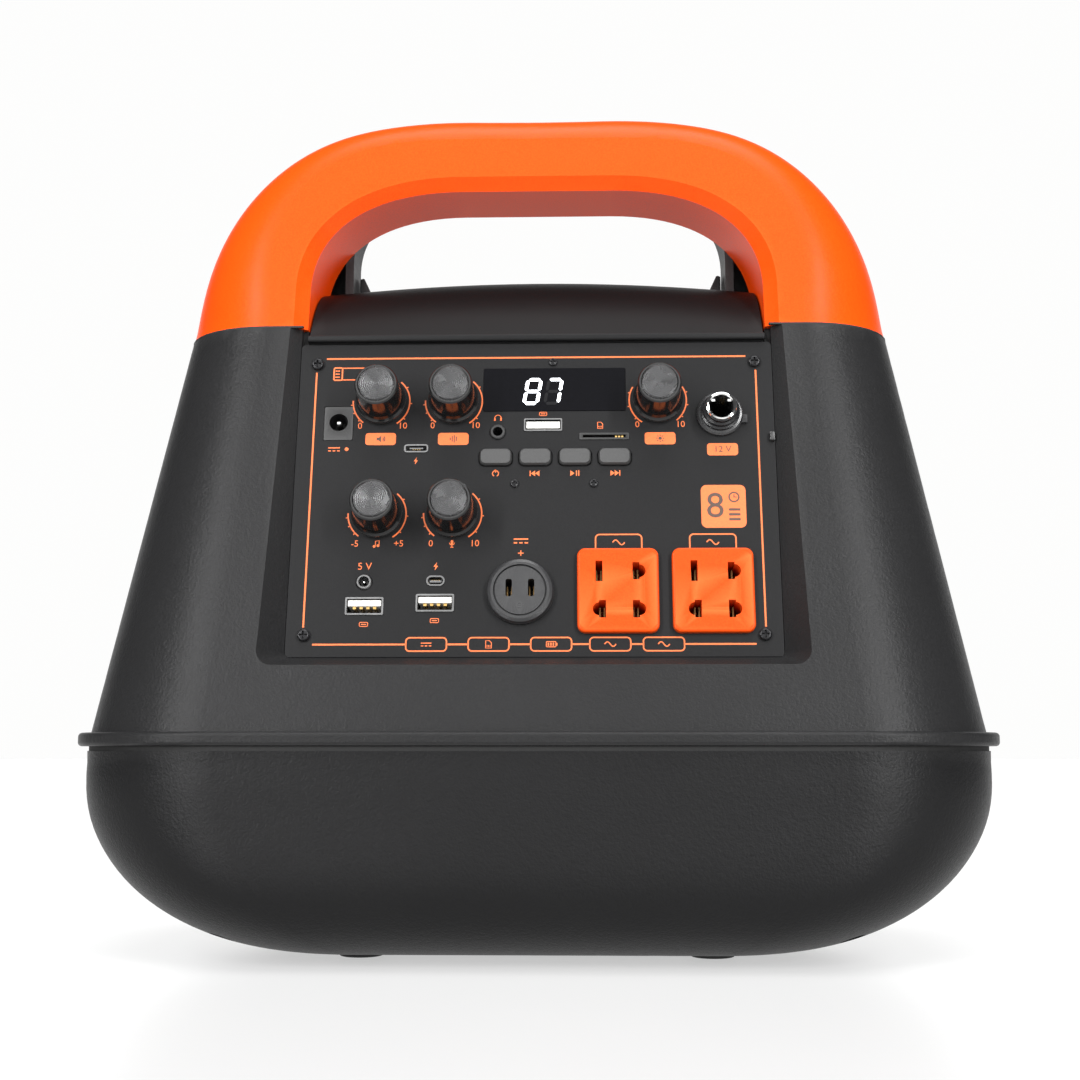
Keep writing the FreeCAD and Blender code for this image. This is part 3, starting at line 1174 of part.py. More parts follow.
def make_harness():
    z_board = INVERTER_BOARD[5]
    turn_x, low = BATTERY_LEAD_TURN_X, BATTERY_LEAD_Z
    high = z_board + BATTERY_LEAD_RISE
    wires = []
    for y in (-BATTERY_LEAD_Y, BATTERY_LEAD_Y):
        route = [V(BATTERY[0], y, low), V(turn_x, y, low), V(turn_x, y, high),
                 V(BATTERY_LEAD_END_X, y, high)]
        wires.append(tube(route, BATTERY_LEAD_R))
    u, v = AC_OUTLETS["right"]
    back = PANEL_ORIGIN + PANEL_UP * v - PANEL_OUT * OUTLET_LEAD_DEPTH
    back.x = u
    knee = back - PANEL_OUT * OUTLET_LEAD_RUN
    wires.append(tube([V(u, knee.y, z_board + OUTLET_LEAD_RISE), knee, back], OUTLET_LEAD_R))
    save("wiring_harness", Part.makeCompound(wires))


os.makedirs("parts", exist_ok=True)
make_tub()
make_seal()
make_feet()
make_upper_shell()
make_case_screws()
make_handle()
make_deck()
make_panel()
make_panel_screws()
make_knobs()
make_buttons()
make_display()
make_small_ports()
make_dc12_socket()
make_round_outlet()
make_ac_outlets()
make_control_board()
make_battery()
make_inverter()
make_fan()
make_speaker()
make_harness()
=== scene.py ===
import json
import math

import bmesh
import bpy
from mathutils import Matrix, Vector


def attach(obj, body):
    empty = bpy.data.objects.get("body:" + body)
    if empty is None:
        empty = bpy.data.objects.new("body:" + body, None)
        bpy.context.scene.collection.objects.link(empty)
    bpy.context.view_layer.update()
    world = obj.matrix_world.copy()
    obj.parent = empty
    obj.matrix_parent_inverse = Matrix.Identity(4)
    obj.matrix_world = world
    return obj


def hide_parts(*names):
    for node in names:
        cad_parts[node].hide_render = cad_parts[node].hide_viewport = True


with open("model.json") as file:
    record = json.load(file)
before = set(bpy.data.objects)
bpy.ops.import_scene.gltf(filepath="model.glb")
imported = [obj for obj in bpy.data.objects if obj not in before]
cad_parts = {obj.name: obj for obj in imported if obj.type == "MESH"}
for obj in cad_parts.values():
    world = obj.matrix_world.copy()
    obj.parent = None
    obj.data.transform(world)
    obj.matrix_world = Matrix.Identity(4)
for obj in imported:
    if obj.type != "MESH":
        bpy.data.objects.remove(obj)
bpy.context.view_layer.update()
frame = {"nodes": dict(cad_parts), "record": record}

MM = 0.001

# ---------------------------------------------------------------- where things are
TILT = math.radians(10.43)
PANEL_ORIGIN = Vector((0.0, -55.0, 103.3)) * MM
SPEAKER_V = 78.0

KNOBS = {
    "volume": (-55.1, 94.1),
    "bass": (-29.1, 94.1),
    "light": (43.8, 94.1),
    "treble": (-55.1, 51.4),
    "mic": (-28.6, 51.4),
}
BUTTONS = {"mode": -13.8, "previous": 0.2, "play": 14.2, "next": 28.2}
DC_IN = (-70.2, 85.8)
DISPLAY = (6.9, 98.4)
MEDIA_USB = (2.9, 84.8)
CARD_SLOT = (24.6, 80.3)
DC12_SOCKET = (65.7, 88.3)
ROUND_OUTLET = (-4.7, 22.8)
AC_OUTLETS = ((28.9, 23.1), (61.5, 23.1))
USB_A_PORTS = ((-58.3, 18.0), (-34.0, 19.1))
DC5_JACK = (-58.7, 26.6)
TYPE_C = (-34.0, 27.0)
MICRO_USB = (-42.1, 76.0)
KNOB_TOP = 16.6
SHELL_FOOT_Z = 78.0
SHELL_HALF_WIDTH, SHELL_HALF_DEPTH, SHELL_CORNER = 158.6, 70.0, 49.0
SIDE_TAPER, FACE_TAPER, CORNER_TAPER = 0.186, 0.2255, 0.1
SIDE_FLAT_HALF = 3.0
SEAM_Z = 224.0
AC_CONTACTS = ((-6.5, 6.6), (6.2, 6.6), (-5.4, -6.9), (6.2, -6.9))
ROUND_SLOT_U = 3.85


def frame_matrix(x_axis, y_axis, z_axis, origin):
    columns = Matrix((x_axis, y_axis, z_axis)).transposed().to_4x4()
    return Matrix.Translation(origin) @ columns


REAR_LEAN = math.atan(FACE_TAPER)
REAR_ORIGIN = Vector((0.0, SHELL_HALF_DEPTH, SHELL_FOOT_Z)) * MM
PANEL = frame_matrix(Vector((1, 0, 0)), Vector((0, math.sin(TILT), math.cos(TILT))),
                     Vector((0, -math.cos(TILT), math.sin(TILT))), PANEL_ORIGIN)
REAR = frame_matrix(Vector((-1, 0, 0)), Vector((0, -math.sin(REAR_LEAN), math.cos(REAR_LEAN))),
                    Vector((0, math.cos(REAR_LEAN), math.sin(REAR_LEAN))), REAR_ORIGIN)


def panel_at(spot, height=0.0):
    """Placement on the control panel, +Z outwards, spot and height in millimetres."""
    return PANEL @ Matrix.Translation(Vector((spot[0], spot[1], height)) * MM)


# ---------------------------------------------------------------- materials
def nodes_of(name):
    material = bpy.data.materials.new(name)
    material.use_nodes = True
    tree = material.node_tree
    return material, tree, tree.nodes["Principled BSDF"]


def add(tree, kind, **settings):
    node = tree.nodes.new(kind)
    for key, value in settings.items():
        if key in node.inputs:
            node.inputs[key].default_value = value
        else:
            setattr(node, key, value)
    return node


def noise(tree, where, scale, detail=2.0, roughness=0.5):
    node = add(tree, "ShaderNodeTexNoise", Scale=scale, Detail=detail, Roughness=roughness)
    tree.links.new(where, node.inputs["Vector"])
    return node.outputs["Fac"]


def ranged(tree, value, low, high, to_low, to_high):
    node = tree.nodes.new("ShaderNodeMapRange")
    for index, number in enumerate((low, high, to_low, to_high)):
        node.inputs[index + 1].default_value = number
    tree.links.new(value, node.inputs["Value"])
    return node.outputs["Result"]


def mixed(tree, share, first, second):
    node = tree.nodes.new("ShaderNodeMix")
    node.data_type = "RGBA"
    tree.links.new(share, node.inputs["Factor"])
    for socket, value in ((node.inputs[6], first), (node.inputs[7], second)):
        if isinstance(value, tuple):
            socket.default_value = (*value, 1.0)
        else:
            tree.links.new(value, socket)
    return node.outputs[2]


def bump(tree, height, depth, strength=1.0, before=None):
    node = add(tree, "ShaderNodeBump", Strength=strength, Distance=depth)
    tree.links.new(height, node.inputs["Height"])
    if before is not None:
        tree.links.new(before, node.inputs["Normal"])
    return node.outputs["Normal"]


def moulded(name, colour, rough, grain=1100.0, depth=0.00006, tone=0.12, wear=0.0, worn=(0.2, 0.2, 0.2),
            pebble=0.0, metallic=0.0, specular=0.5, ior=1.45, swirl=0.0):
    """Moulded or painted surface: two sizes of grain, patchy tone and gloss, and rubbed edges."""
    material, tree, shader = nodes_of(name)
    where = tree.nodes.new("ShaderNodeTexCoord").outputs["Object"]
    fine = noise(tree, where, grain, 3.0, 0.6)
    broad = noise(tree, where, 22.0, 3.0)
    dark = tuple(c * (1.0 - tone) for c in colour)
    light = tuple(min(1.0, c * (1.0 + tone)) for c in colour)
    base = mixed(tree, ranged(tree, broad, 0.3, 0.7, 0.0, 1.0), dark, light)
    speck = mixed(tree, ranged(tree, fine, 0.35, 0.65, 0.0, 1.0), tuple(c * 0.82 for c in colour), base)
    if wear:
        point = tree.nodes.new("ShaderNodeNewGeometry").outputs["Pointiness"]
        edge = ranged(tree, point, 0.53, 0.62, 0.0, wear)
        speck = mixed(tree, edge, speck, worn)
    tree.links.new(speck, shader.inputs["Base Color"])
    spread = ranged(tree, fine, 0.3, 0.7, rough - 0.05, rough + 0.06)
    tree.links.new(spread, shader.inputs["Roughness"])
    normal = bump(tree, fine, depth)
    if pebble:
        cells = add(tree, "ShaderNodeTexVoronoi", Scale=grain * 0.55, feature="SMOOTH_F1")
        tree.links.new(where, cells.inputs["Vector"])
        normal = bump(tree, cells.outputs["Distance"], pebble, 1.0, normal)
    if swirl:
        normal = bump(tree, noise(tree, where, 60.0, 2.0), swirl, 1.0, normal)
    tree.links.new(normal, shader.inputs["Normal"])
    shader.inputs["Metallic"].default_value = metallic
    shader.inputs["Specular IOR Level"].default_value = specular
    shader.inputs["IOR"].default_value = ior
    return material


def brushed(name, colour, rough, stretch, depth=0.00001):
    """Drawn or plated metal with fine streaks along one axis."""
    material, tree, shader = nodes_of(name)
    where = tree.nodes.new("ShaderNodeTexCoord").outputs["Object"]
    mapping = tree.nodes.new("ShaderNodeMapping")
    mapping.inputs["Scale"].default_value = stretch
    tree.links.new(where, mapping.inputs["Vector"])
    streak = noise(tree, mapping.outputs["Vector"], 1.0, 4.0, 0.7)
    patch = noise(tree, where, 140.0, 2.0)
    tone = mixed(tree, ranged(tree, streak, 0.3, 0.7, 0.0, 1.0), tuple(c * 0.78 for c in colour), colour)
    tree.links.new(tone, shader.inputs["Base Color"])
    tree.links.new(ranged(tree, patch, 0.3, 0.7, rough * 0.8, rough * 1.25), shader.inputs["Roughness"])
    tree.links.new(bump(tree, streak, depth), shader.inputs["Normal"])
    shader.inputs["Metallic"].default_value = 1.0
    return material


def spun(name, colour, rough):
    """Lathe-faced metal: rings of fine grooves about the piece's own axis, and a radial sheen."""
    material, tree, shader = nodes_of(name)
    where = tree.nodes.new("ShaderNodeTexCoord").outputs["Object"]
    rings = add(tree, "ShaderNodeTexWave", wave_type="RINGS", rings_direction="Z", Scale=420.0,
                Distortion=0.4)
    tree.links.new(where, rings.inputs["Vector"])
    patch = noise(tree, where, 300.0, 2.0)
    tone = mixed(tree, rings.outputs["Fac"], tuple(c * 0.85 for c in colour), colour)
    tree.links.new(tone, shader.inputs["Base Color"])
    tree.links.new(ranged(tree, patch, 0.3, 0.7, rough * 0.85, rough * 1.15), shader.inputs["Roughness"])
    tree.links.new(bump(tree, rings.outputs["Fac"], 0.0000008), shader.inputs["Normal"])
    tangent = add(tree, "ShaderNodeTangent", direction_type="RADIAL", axis="Z")
    tree.links.new(tangent.outputs["Tangent"], shader.inputs["Tangent"])
    shader.inputs["Metallic"].default_value = 1.0
    shader.inputs["Anisotropic"].default_value = 0.9
    return material


def ink(name, colour, rough=0.45):
    """Screen-printed ink: slightly uneven cover."""
    material, tree, shader = nodes_of(name)
    where = tree.nodes.new("ShaderNodeTexCoord").outputs["Object"]
    cover = noise(tree, where, 1800.0, 3.0, 0.65)
    tone = mixed(tree, ranged(tree, cover, 0.3, 0.62, 0.0, 1.0), tuple(c * 0.72 for c in colour), colour)
    tree.links.new(tone, shader.inputs["Base Color"])
    tree.links.new(ranged(tree, cover, 0.3, 0.7, rough, rough + 0.15), shader.inputs["Roughness"])
    tree.links.new(bump(tree, cover, 0.00001), shader.inputs["Normal"])
    return material


def glowing(name, colour, power):
    """Lit display segment with a slightly uneven diffuser."""
    material, tree, shader = nodes_of(name)
    where = tree.nodes.new("ShaderNodeTexCoord").outputs["Object"]
    haze = noise(tree, where, 700.0, 2.0)
    tone = mixed(tree, haze, tuple(c * 0.85 for c in colour), colour)
    tree.links.new(tone, shader.inputs["Base Color"])
    tree.links.new(tone, shader.inputs["Emission Color"])
    tree.links.new(bump(tree, haze, 0.000005), shader.inputs["Normal"])
    shader.inputs["Emission Strength"].default_value = power
    return material


SHELL = (0.0135, 0.0135, 0.0139)
ORANGE = (0.76, 0.056, 0.002)

MATERIALS = {
    "shell_black": moulded("shell_grain", SHELL, 0.37, 1400.0, 0.00014, 0.10, 0.30, (0.05, 0.05, 0.05),
                           0.00007, ior=1.22),
    # tub_black is the shell's black darkened to about half: painted shade standing in for the dim,
    # downward-rolling lower part of the tub
    "tub_black": moulded("tub_grain_painted_shade", (0.0075, 0.0075, 0.0078), 0.37, 1400.0, 0.00014, 0.10, 0.2,
                         (0.04, 0.04, 0.04), 0.00007, ior=1.21),
    "deck_black": moulded("deck_satin", (0.004, 0.004, 0.0042), 0.40, 1500.0, 0.00002, 0.1, 0.2,
                          (0.04, 0.04, 0.04), ior=1.15),
    "rear_cover_black": moulded("rear_grain", (0.016, 0.016, 0.0165), 0.46, 900.0, 0.00008, 0.10, 0.25,
                                (0.06, 0.06, 0.06), 0.00005, specular=0.3),
    "handle_orange": moulded("handle_satin", ORANGE, 0.34, 1600.0, 0.000015, 0.03, 0.12, (1.0, 0.2, 0.04),
                             ior=1.20),
    "seal_rubber": moulded("seal_rubber", (0.006, 0.006, 0.006), 0.7, 1400.0, 0.00003),
    "foot_rubber": moulded("foot_rubber", (0.014, 0.014, 0.014), 0.75, 1200.0, 0.00006, 0.2),
    "panel_grey": moulded("panel_satin", (0.0110, 0.0110, 0.0114), 0.46, 1900.0, 0.00002, 0.05, ior=1.18),
    "screw_black": moulded("black_oxide", (0.012, 0.012, 0.013), 0.3, 1500.0, 0.00002, 0.2, 0.5,
                           (0.14, 0.14, 0.14), metallic=0.3, specular=0.3),
    "screw_steel": brushed("zinc_plate", (0.45, 0.45, 0.46), 0.32, (900.0, 900.0, 900.0)),
    "display_gloss": moulded("display_gloss", (0.003, 0.003, 0.004), 0.16, 600.0, 0.000002, 0.1,
                             specular=0.07),
    "module_black": moulded("module_black", (0.015, 0.015, 0.015), 0.6, 900.0, 0.00004),
    "port_black": moulded("port_black", (0.010, 0.010, 0.010), 0.36, 1600.0, 0.00002, 0.1, 0.4,
                          (0.06, 0.06, 0.06)),
    "port_steel": brushed("port_nickel", (0.22, 0.22, 0.22), 0.28, (400.0, 2500.0, 2500.0)),
    "jack_black": moulded("jack_black", (0.012, 0.012, 0.012), 0.28, 1600.0, 0.00001, 0.1, 0.4,
                          (0.07, 0.07, 0.07)),
    "socket_black": moulded("socket_black", (0.009, 0.009, 0.010), 0.26, 1500.0, 0.00002, 0.1, 0.5,
                            (0.08, 0.08, 0.08)),
    "ring_chrome": brushed("ring_chrome", (0.78, 0.78, 0.77), 0.08, (600.0, 600.0, 600.0), 0.000003),
    "outlet_black": moulded("outlet_black", (0.016, 0.016, 0.017), 0.34, 1600.0, 0.00002, 0.1, 0.4,
                            (0.07, 0.07, 0.07)),
    "outlet_orange": moulded("outlet_orange", (0.56, 0.052, 0.003), 0.34, 1700.0, 0.00001, 0.04, 0.3,
                             (1.0, 0.3, 0.09), ior=1.22),
    "pot_metal": brushed("pot_plate", (0.5, 0.5, 0.48), 0.35, (500.0, 500.0, 500.0)),
    "board_green": moulded("board_green", (0.015, 0.14, 0.06), 0.35, 500.0, 0.00006, 0.2),
    "battery_wrap": moulded("battery_film", (0.02, 0.07, 0.28), 0.25, 700.0, 0.00002, 0.15, swirl=0.0004),
    "bracket_steel": brushed("bracket_zinc", (0.5, 0.5, 0.5), 0.36, (200.0, 1200.0, 200.0)),
    "heatsink_aluminium": brushed("sink_extruded", (0.68, 0.68, 0.7), 0.34, (120.0, 1500.0, 1500.0)),
    "transformer_iron": brushed("laminations", (0.16, 0.12, 0.08), 0.5, (2600.0, 60.0, 60.0), 0.00005),
    "fan_black": moulded("fan_black", (0.015, 0.015, 0.015), 0.42, 1200.0, 0.00003),
    "speaker_metal": moulded("speaker_paper", (0.03, 0.03, 0.03), 0.7, 1300.0, 0.00008, 0.25),
    "grille_black": moulded("grille_powder", (0.014, 0.014, 0.014), 0.5, 2200.0, 0.00005, 0.15, 0.5,
                            (0.10, 0.10, 0.10)),
    "wire_insulation": moulded("wire_pvc", (0.5, 0.015, 0.015), 0.35, 900.0, 0.00002, 0.1),
    "knob_black": moulded("knob_gloss", (0.007, 0.007, 0.007), 0.16, 1200.0, 0.000006, 0.1, 0.5,
                          (0.06, 0.06, 0.06)),
    "cap_aluminium": spun("spun_aluminium", (0.060, 0.060, 0.061), 0.26),
    "shaft_brass": brushed("turned_brass", (0.7, 0.5, 0.2), 0.25, (200.0, 200.0, 2200.0)),
    "button_black": moulded("key_rubber", (0.028, 0.028, 0.028), 0.5, 1500.0, 0.00003, 0.08, 0.35,
                            (0.07, 0.07, 0.07)),
}
INK_ORANGE = ink("ink_orange", (0.60, 0.115, 0.017))
INK_DARK = ink("ink_dark", (0.05, 0.022, 0.012))
TONGUE = moulded("tongue_white", (0.58, 0.57, 0.54), 0.35, 1500.0, 0.00001, 0.05, specular=0.2)
CONTACT = brushed("contact_gold", (0.75, 0.50, 0.18), 0.24, (500.0, 500.0, 500.0))
BLADE = brushed("contact_brass", (0.32, 0.20, 0.08), 0.4, (300.0, 300.0, 300.0))
SEGMENT = glowing("segment_white", (0.92, 0.95, 1.0), 3.2)
SEGMENT_OFF = moulded("segment_off", (0.010, 0.010, 0.011), 0.2, 900.0, 0.000002, specular=0.1)
CLOTH = moulded("speaker_cloth", (0.010, 0.010, 0.010), 0.85, 2600.0, 0.0001, 0.3)

for entry in frame["record"]["subparts"]:
    for holder in frame["nodes"][entry["node"]].material_slots:
        holder.material = MATERIALS[entry["material_slot"]]


# ---------------------------------------------------------------- mesh helpers
def finish_piece(name, mesh, matrix, material, body="housing", crease=32.0):
    bmesh.ops.recalc_face_normals(mesh, faces=mesh.faces)
    data = bpy.data.meshes.new(name)
    mesh.to_mesh(data)
    mesh.free()
    data.polygons.foreach_set("use_smooth", [True] * len(data.polygons))
    data.set_sharp_from_angle(angle=math.radians(crease))
    data.materials.append(material)
    piece = bpy.data.objects.new(name, data)
    bpy.context.scene.collection.objects.link(piece)
    piece.matrix_world = matrix
    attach(piece, body)
    return piece


def ribbon(mesh, left, right, low, high, closed):
    """Solid strip between two matching rows of points, heights in millimetres."""
    rows = []
    for x_y_rows in (left, right):
        rows.append([mesh.verts.new((x * MM, y * MM, low * MM)) for x, y in x_y_rows])
        rows.append([mesh.verts.new((x * MM, y * MM, high * MM)) for x, y in x_y_rows])
    left_low, left_high, right_low, right_high = rows
    count = len(left)
    for i in range(count if closed else count - 1):
        j = (i + 1) % count
        mesh.faces.new((left_high[i], left_high[j], right_high[j], right_high[i]))
        mesh.faces.new((left_low[i], right_low[i], right_low[j], left_low[j]))
        mesh.faces.new((left_low[i], left_low[j], left_high[j], left_high[i]))
        mesh.faces.new((right_low[i], right_high[i], right_high[j], right_low[j]))
    if not closed:
        for i in (0, count - 1):
            mesh.faces.new((left_low[i], left_high[i], right_high[i], right_low[i]))


def slab(mesh, points, low, high):
    """Flat block over an outline."""
    bottom = [mesh.verts.new((x * MM, y * MM, low * MM)) for x, y in points]
    top = [mesh.verts.new((x * MM, y * MM, high * MM)) for x, y in points]
    mesh.faces.new(bottom[::-1])
    mesh.faces.new(top)
    for i in range(len(points)):
        j = (i + 1) % len(points)
        mesh.faces.new((bottom[i], bottom[j], top[j], top[i]))


def stroke(mesh, points, width, low, high, closed=False):
    """A line of constant width along points."""
    left, right = [], []
    count = len(points)
    for i, (x, y) in enumerate(points):
        if closed:
            before, after = points[i - 1], points[(i + 1) % count]
        else:
            before, after = points[max(i - 1, 0)], points[min(i + 1, count - 1)]
        along = Vector((after[0] - before[0], after[1] - before[1])).normalized()
        side = Vector((-along.y, along.x)) * (width / 2)
        left.append((x + side.x, y + side.y))
        right.append((x - side.x, y - side.y))
    ribbon(mesh, left, right, low, high, closed)


def arc(centre, radius, start, stop, steps):
    spread = [math.radians(start + (stop - start) * i / steps) for i in range(steps + 1)]
    return [(centre[0] + radius * math.cos(a), centre[1] + radius * math.sin(a)) for a in spread]


def circle(centre, radius, steps=24):
    return arc(centre, radius, 0.0, 360.0, steps)[:-1]


def rounded(centre, width, height, radius, steps=5):
    points = []
    for quarter, (sx, sy) in enumerate(((1, 1), (-1, 1), (-1, -1), (1, -1))):
        corner = (centre[0] + sx * (width / 2 - radius), centre[1] + sy * (height / 2 - radius))
        points += arc(corner, radius, 90.0 * quarter, 90.0 * (quarter + 1), steps)
    return points


def lathe(profile, steps=64):
    """Closed solid turned about Z from (radius, height) points in millimetres; ends on the axis."""
    mesh = bmesh.new()
    rings = []
    for radius, height in profile:
        if radius == 0:
            rings.append([mesh.verts.new((0, 0, height * MM))])
        else:
            spots = circle((0, 0), radius, steps)
            rings.append([mesh.verts.new((x * MM, y * MM, height * MM)) for x, y in spots])
    for lower, upper in zip(rings, rings[1:]):
        for i in range(steps):
            j = (i + 1) % steps
            corners = [lower[i % len(lower)], lower[j % len(lower)],
                       upper[j % len(upper)], upper[i % len(upper)]]
            unique = list(dict.fromkeys(corners))
            mesh.faces.new(unique)
    return mesh


def lettering(mesh, text, size, centre, low, high):
    """Digits and signs as closed blocks, centred on a spot."""
    curve = bpy.data.curves.new("glyphs", "FONT")
    curve.body = text
    curve.size = size * MM
    curve.align_x = "CENTER"
    curve.align_y = "CENTER"
    curve.resolution_u = 3
    curve.extrude = (high - low) / 2 * MM
    holder = bpy.data.objects.new("glyphs", curve)
    data = bpy.data.meshes.new_from_object(holder)
    data.transform(Matrix.Translation(Vector((centre[0], centre[1], (low + high) / 2)) * MM))
    mesh.from_mesh(data)
    bpy.data.objects.remove(holder)
    bpy.data.meshes.remove(data)
    bpy.data.curves.remove(curve)


# ---------------------------------------------------------------- printed panel graphics
INK_LOW, INK_HIGH, LINE = -0.02, 0.06, 0.62
OVER_LOW, OVER_HIGH = 0.03, 0.10
THIN = 0.42


def moved(points, centre, size=1.0):
    return [(centre[0] + x * size, centre[1] + y * size) for x, y in points]


def icon_speaker(mesh, centre, size, low, high):
    slab(mesh, moved([(-1.0, -0.35), (-0.45, -0.35), (0.1, -0.9), (0.1, 0.9), (-0.45, 0.35), (-1.0, 0.35)],
                     centre, size), low, high)
    for radius in (0.55, 0.95):
        stroke(mesh, moved(arc((0.1, 0.0), radius, -45.0, 45.0, 6), centre, size), 0.24 * size, low, high)


def icon_note(mesh, centre, size, low, high):
    slab(mesh, moved(circle((-0.45, -0.65), 0.38, 12), centre, size), low, high)
    slab(mesh, moved(circle((0.55, -0.45), 0.38, 12), centre, size), low, high)
    stroke(mesh, moved([(-0.15, -0.6), (-0.15, 0.8), (0.85, 1.0), (0.85, -0.4)], centre, size),
           0.22 * size, low, high)


def icon_lamp(mesh, centre, size, low, high):
    slab(mesh, moved(circle((0, 0), 0.42, 14), centre, size), low, high)
    for turn in range(8):
        c, s = math.cos(turn * math.pi / 4), math.sin(turn * math.pi / 4)
        stroke(mesh, moved([(0.62 * c, 0.62 * s), (1.0 * c, 1.0 * s)], centre, size), 0.2 * size, low, high)


def icon_mic(mesh, centre, size, low, high):
    slab(mesh, moved(rounded((0, 0.35), 0.62, 1.25, 0.3), centre, size), low, high)
    stroke(mesh, moved(arc((0, 0.3), 0.62, 180.0, 360.0, 8), centre, size), 0.17 * size, low, high)
    stroke(mesh, moved([(0, -0.3), (0, -0.9)], centre, size), 0.18 * size, low, high)
    stroke(mesh, moved([(-0.4, -0.9), (0.4, -0.9)], centre, size), 0.18 * size, low, high)


def icon_clef(mesh, centre, size, low, high):
    for i, tall in enumerate((0.35, 0.75, 1.0, 0.6)):
        x = -0.75 + 0.5 * i
        stroke(mesh, moved([(x, -tall), (x, tall)], centre, size), 0.24 * size, low, high)


def icon_phones(mesh, centre, size, low, high):
    stroke(mesh, moved(arc((0, -0.1), 0.8, 0.0, 180.0, 10), centre, size), 0.2 * size, low, high)
    for side in (-1, 1):
        slab(mesh, moved(rounded((side * 0.75, -0.4), 0.4, 0.75, 0.12), centre, size), low, high)


def icon_bolt(mesh, centre, size, low, high):
    slab(mesh, moved([(0.25, 1.0), (-0.55, -0.1), (-0.08, -0.1), (-0.25, -1.0), (0.55, 0.15), (0.08, 0.15)],
                     centre, size), low, high)


def icon_wave(mesh, centre, size, low, high):
    points = [(-1.5 + 3.0 * i / 16, 0.62 * math.sin(2 * math.pi * i / 16)) for i in range(17)]
    stroke(mesh, moved(points, centre, size), 0.3 * size, low, high)


def icon_direct(mesh, centre, size, low, high):
    stroke(mesh, moved([(-1.4, 0.35), (1.4, 0.35)], centre, size), 0.28 * size, low, high)
    for x in (-1.05, 0.0, 1.05):
        stroke(mesh, moved([(x - 0.33, -0.4), (x + 0.33, -0.4)], centre, size), 0.28 * size, low, high)


def icon_card(mesh, centre, size, low, high):
    stroke(mesh, moved([(-0.75, -1.0), (0.75, -1.0), (0.75, 0.4), (0.2, 1.0), (-0.75, 1.0)], centre, size),
           0.22 * size, low, high, True)
    for x in (-0.4, 0.0, 0.4):
        stroke(mesh, moved([(x, -0.7), (x, -0.2)], centre, size), 0.18 * size, low, high)


def icon_cell(mesh, centre, size, low, high):
    stroke(mesh, moved(rounded((0, 0), 2.5, 1.4, 0.2, 3), centre, size), 0.22 * size, low, high, True)
    slab(mesh, moved([(1.35, -0.35), (1.65, -0.35), (1.65, 0.35), (1.35, 0.35)], centre, size), low, high)
    for x in (-0.7, -0.05, 0.6):
        bar = [(x - 0.2, -0.42), (x + 0.2, -0.42), (x + 0.2, 0.42), (x - 0.2, 0.42)]
        slab(mesh, moved(bar, centre, size), low, high)


def triangle(mesh, centre, size, low, high, facing=1.0):
    points = [(-0.5 * facing, -0.8), (0.6 * facing, 0.0), (-0.5 * facing, 0.8)]
    slab(mesh, moved(points, centre, size), low, high)


def icon_play(mesh, centre, size, low, high):
    triangle(mesh, (centre[0] - 0.7 * size, centre[1]), size, low, high)
    for x in (0.4, 1.0):
        stroke(mesh, moved([(x, -0.75), (x, 0.75)], centre, size), 0.3 * size, low, high)


def icon_next(mesh, centre, size, low, high):
    for x in (-0.6, 0.5):
        triangle(mesh, (centre[0] + x * size, centre[1]), size, low, high)
    stroke(mesh, moved([(1.3, -0.75), (1.3, 0.75)], centre, size), 0.28 * size, low, high)


def icon_previous(mesh, centre, size, low, high):
    for x in (0.6, -0.5):
        triangle(mesh, (centre[0] + x * size, centre[1]), size, low, high, -1.0)
    stroke(mesh, moved([(-1.3, -0.75), (-1.3, 0.75)], centre, size), 0.28 * size, low, high)


def icon_mode(mesh, centre, size, low, high):
    stroke(mesh, moved(arc((0, 0), 0.8, -60.0, 240.0, 12), centre, size), 0.26 * size, low, high)
    stroke(mesh, moved([(0, 0.25), (0, 1.1)], centre, size), 0.26 * size, low, high)


def icon_plug(mesh, centre, size, low, high):
    stroke(mesh, moved(rounded((0, 0), 2.6, 1.3, 0.3, 3), centre, size), 0.22 * size, low, high, True)
    stroke(mesh, moved([(-0.8, 0.0), (0.8, 0.0)], centre, size), 0.3 * size, low, high)


def dial_arcs(mesh, centre, left, right):
    for start, stop in (left, right):
        stroke(mesh, arc(centre, 10.2, start, stop, 20), 0.5, INK_LOW, INK_HIGH)
        ticks = 3
        for i in range(ticks):
            angle = start + (stop - start) * (i + 0.5) / ticks
            inner, outer = (arc(centre, r, angle, angle, 1)[0] for r in (10.2, 11.0))
            stroke(mesh, [inner, outer], 0.4, INK_LOW, INK_HIGH)


def panel_frame(mesh):
    """The long thin line round the panel, broken by the row of labels along its foot."""
    side, top, foot = 79.0, 111.0, 4.4
    stroke(mesh, [(-side, 10.4), (-side, 105.6)], LINE, INK_LOW, INK_HIGH)
    stroke(mesh, [(side, 10.4), (side, 105.6)], LINE, INK_LOW, INK_HIGH)
    stroke(mesh, [(-75.6, top), (75.6, top)], LINE, INK_LOW, INK_HIGH)
    labels = (-36.6, -15.3, 6.0, 26.1, 44.3)
    half = 6.95
    starts = [-75.6] + [u + half for u in labels]
    stops = [u - half for u in labels] + [75.6]
    for start, stop in zip(starts, stops):
        stroke(mesh, [(start, foot), (stop, foot)], LINE, INK_LOW, INK_HIGH)
    for u, icon in zip(labels, (icon_direct, icon_card, icon_cell, icon_wave, icon_wave)):
        stroke(mesh, rounded((u, foot), 2 * half, 4.7, 1.3), 0.5, INK_LOW, INK_HIGH, True)
        icon(mesh, (u, foot), 1.3, INK_LOW, INK_HIGH)


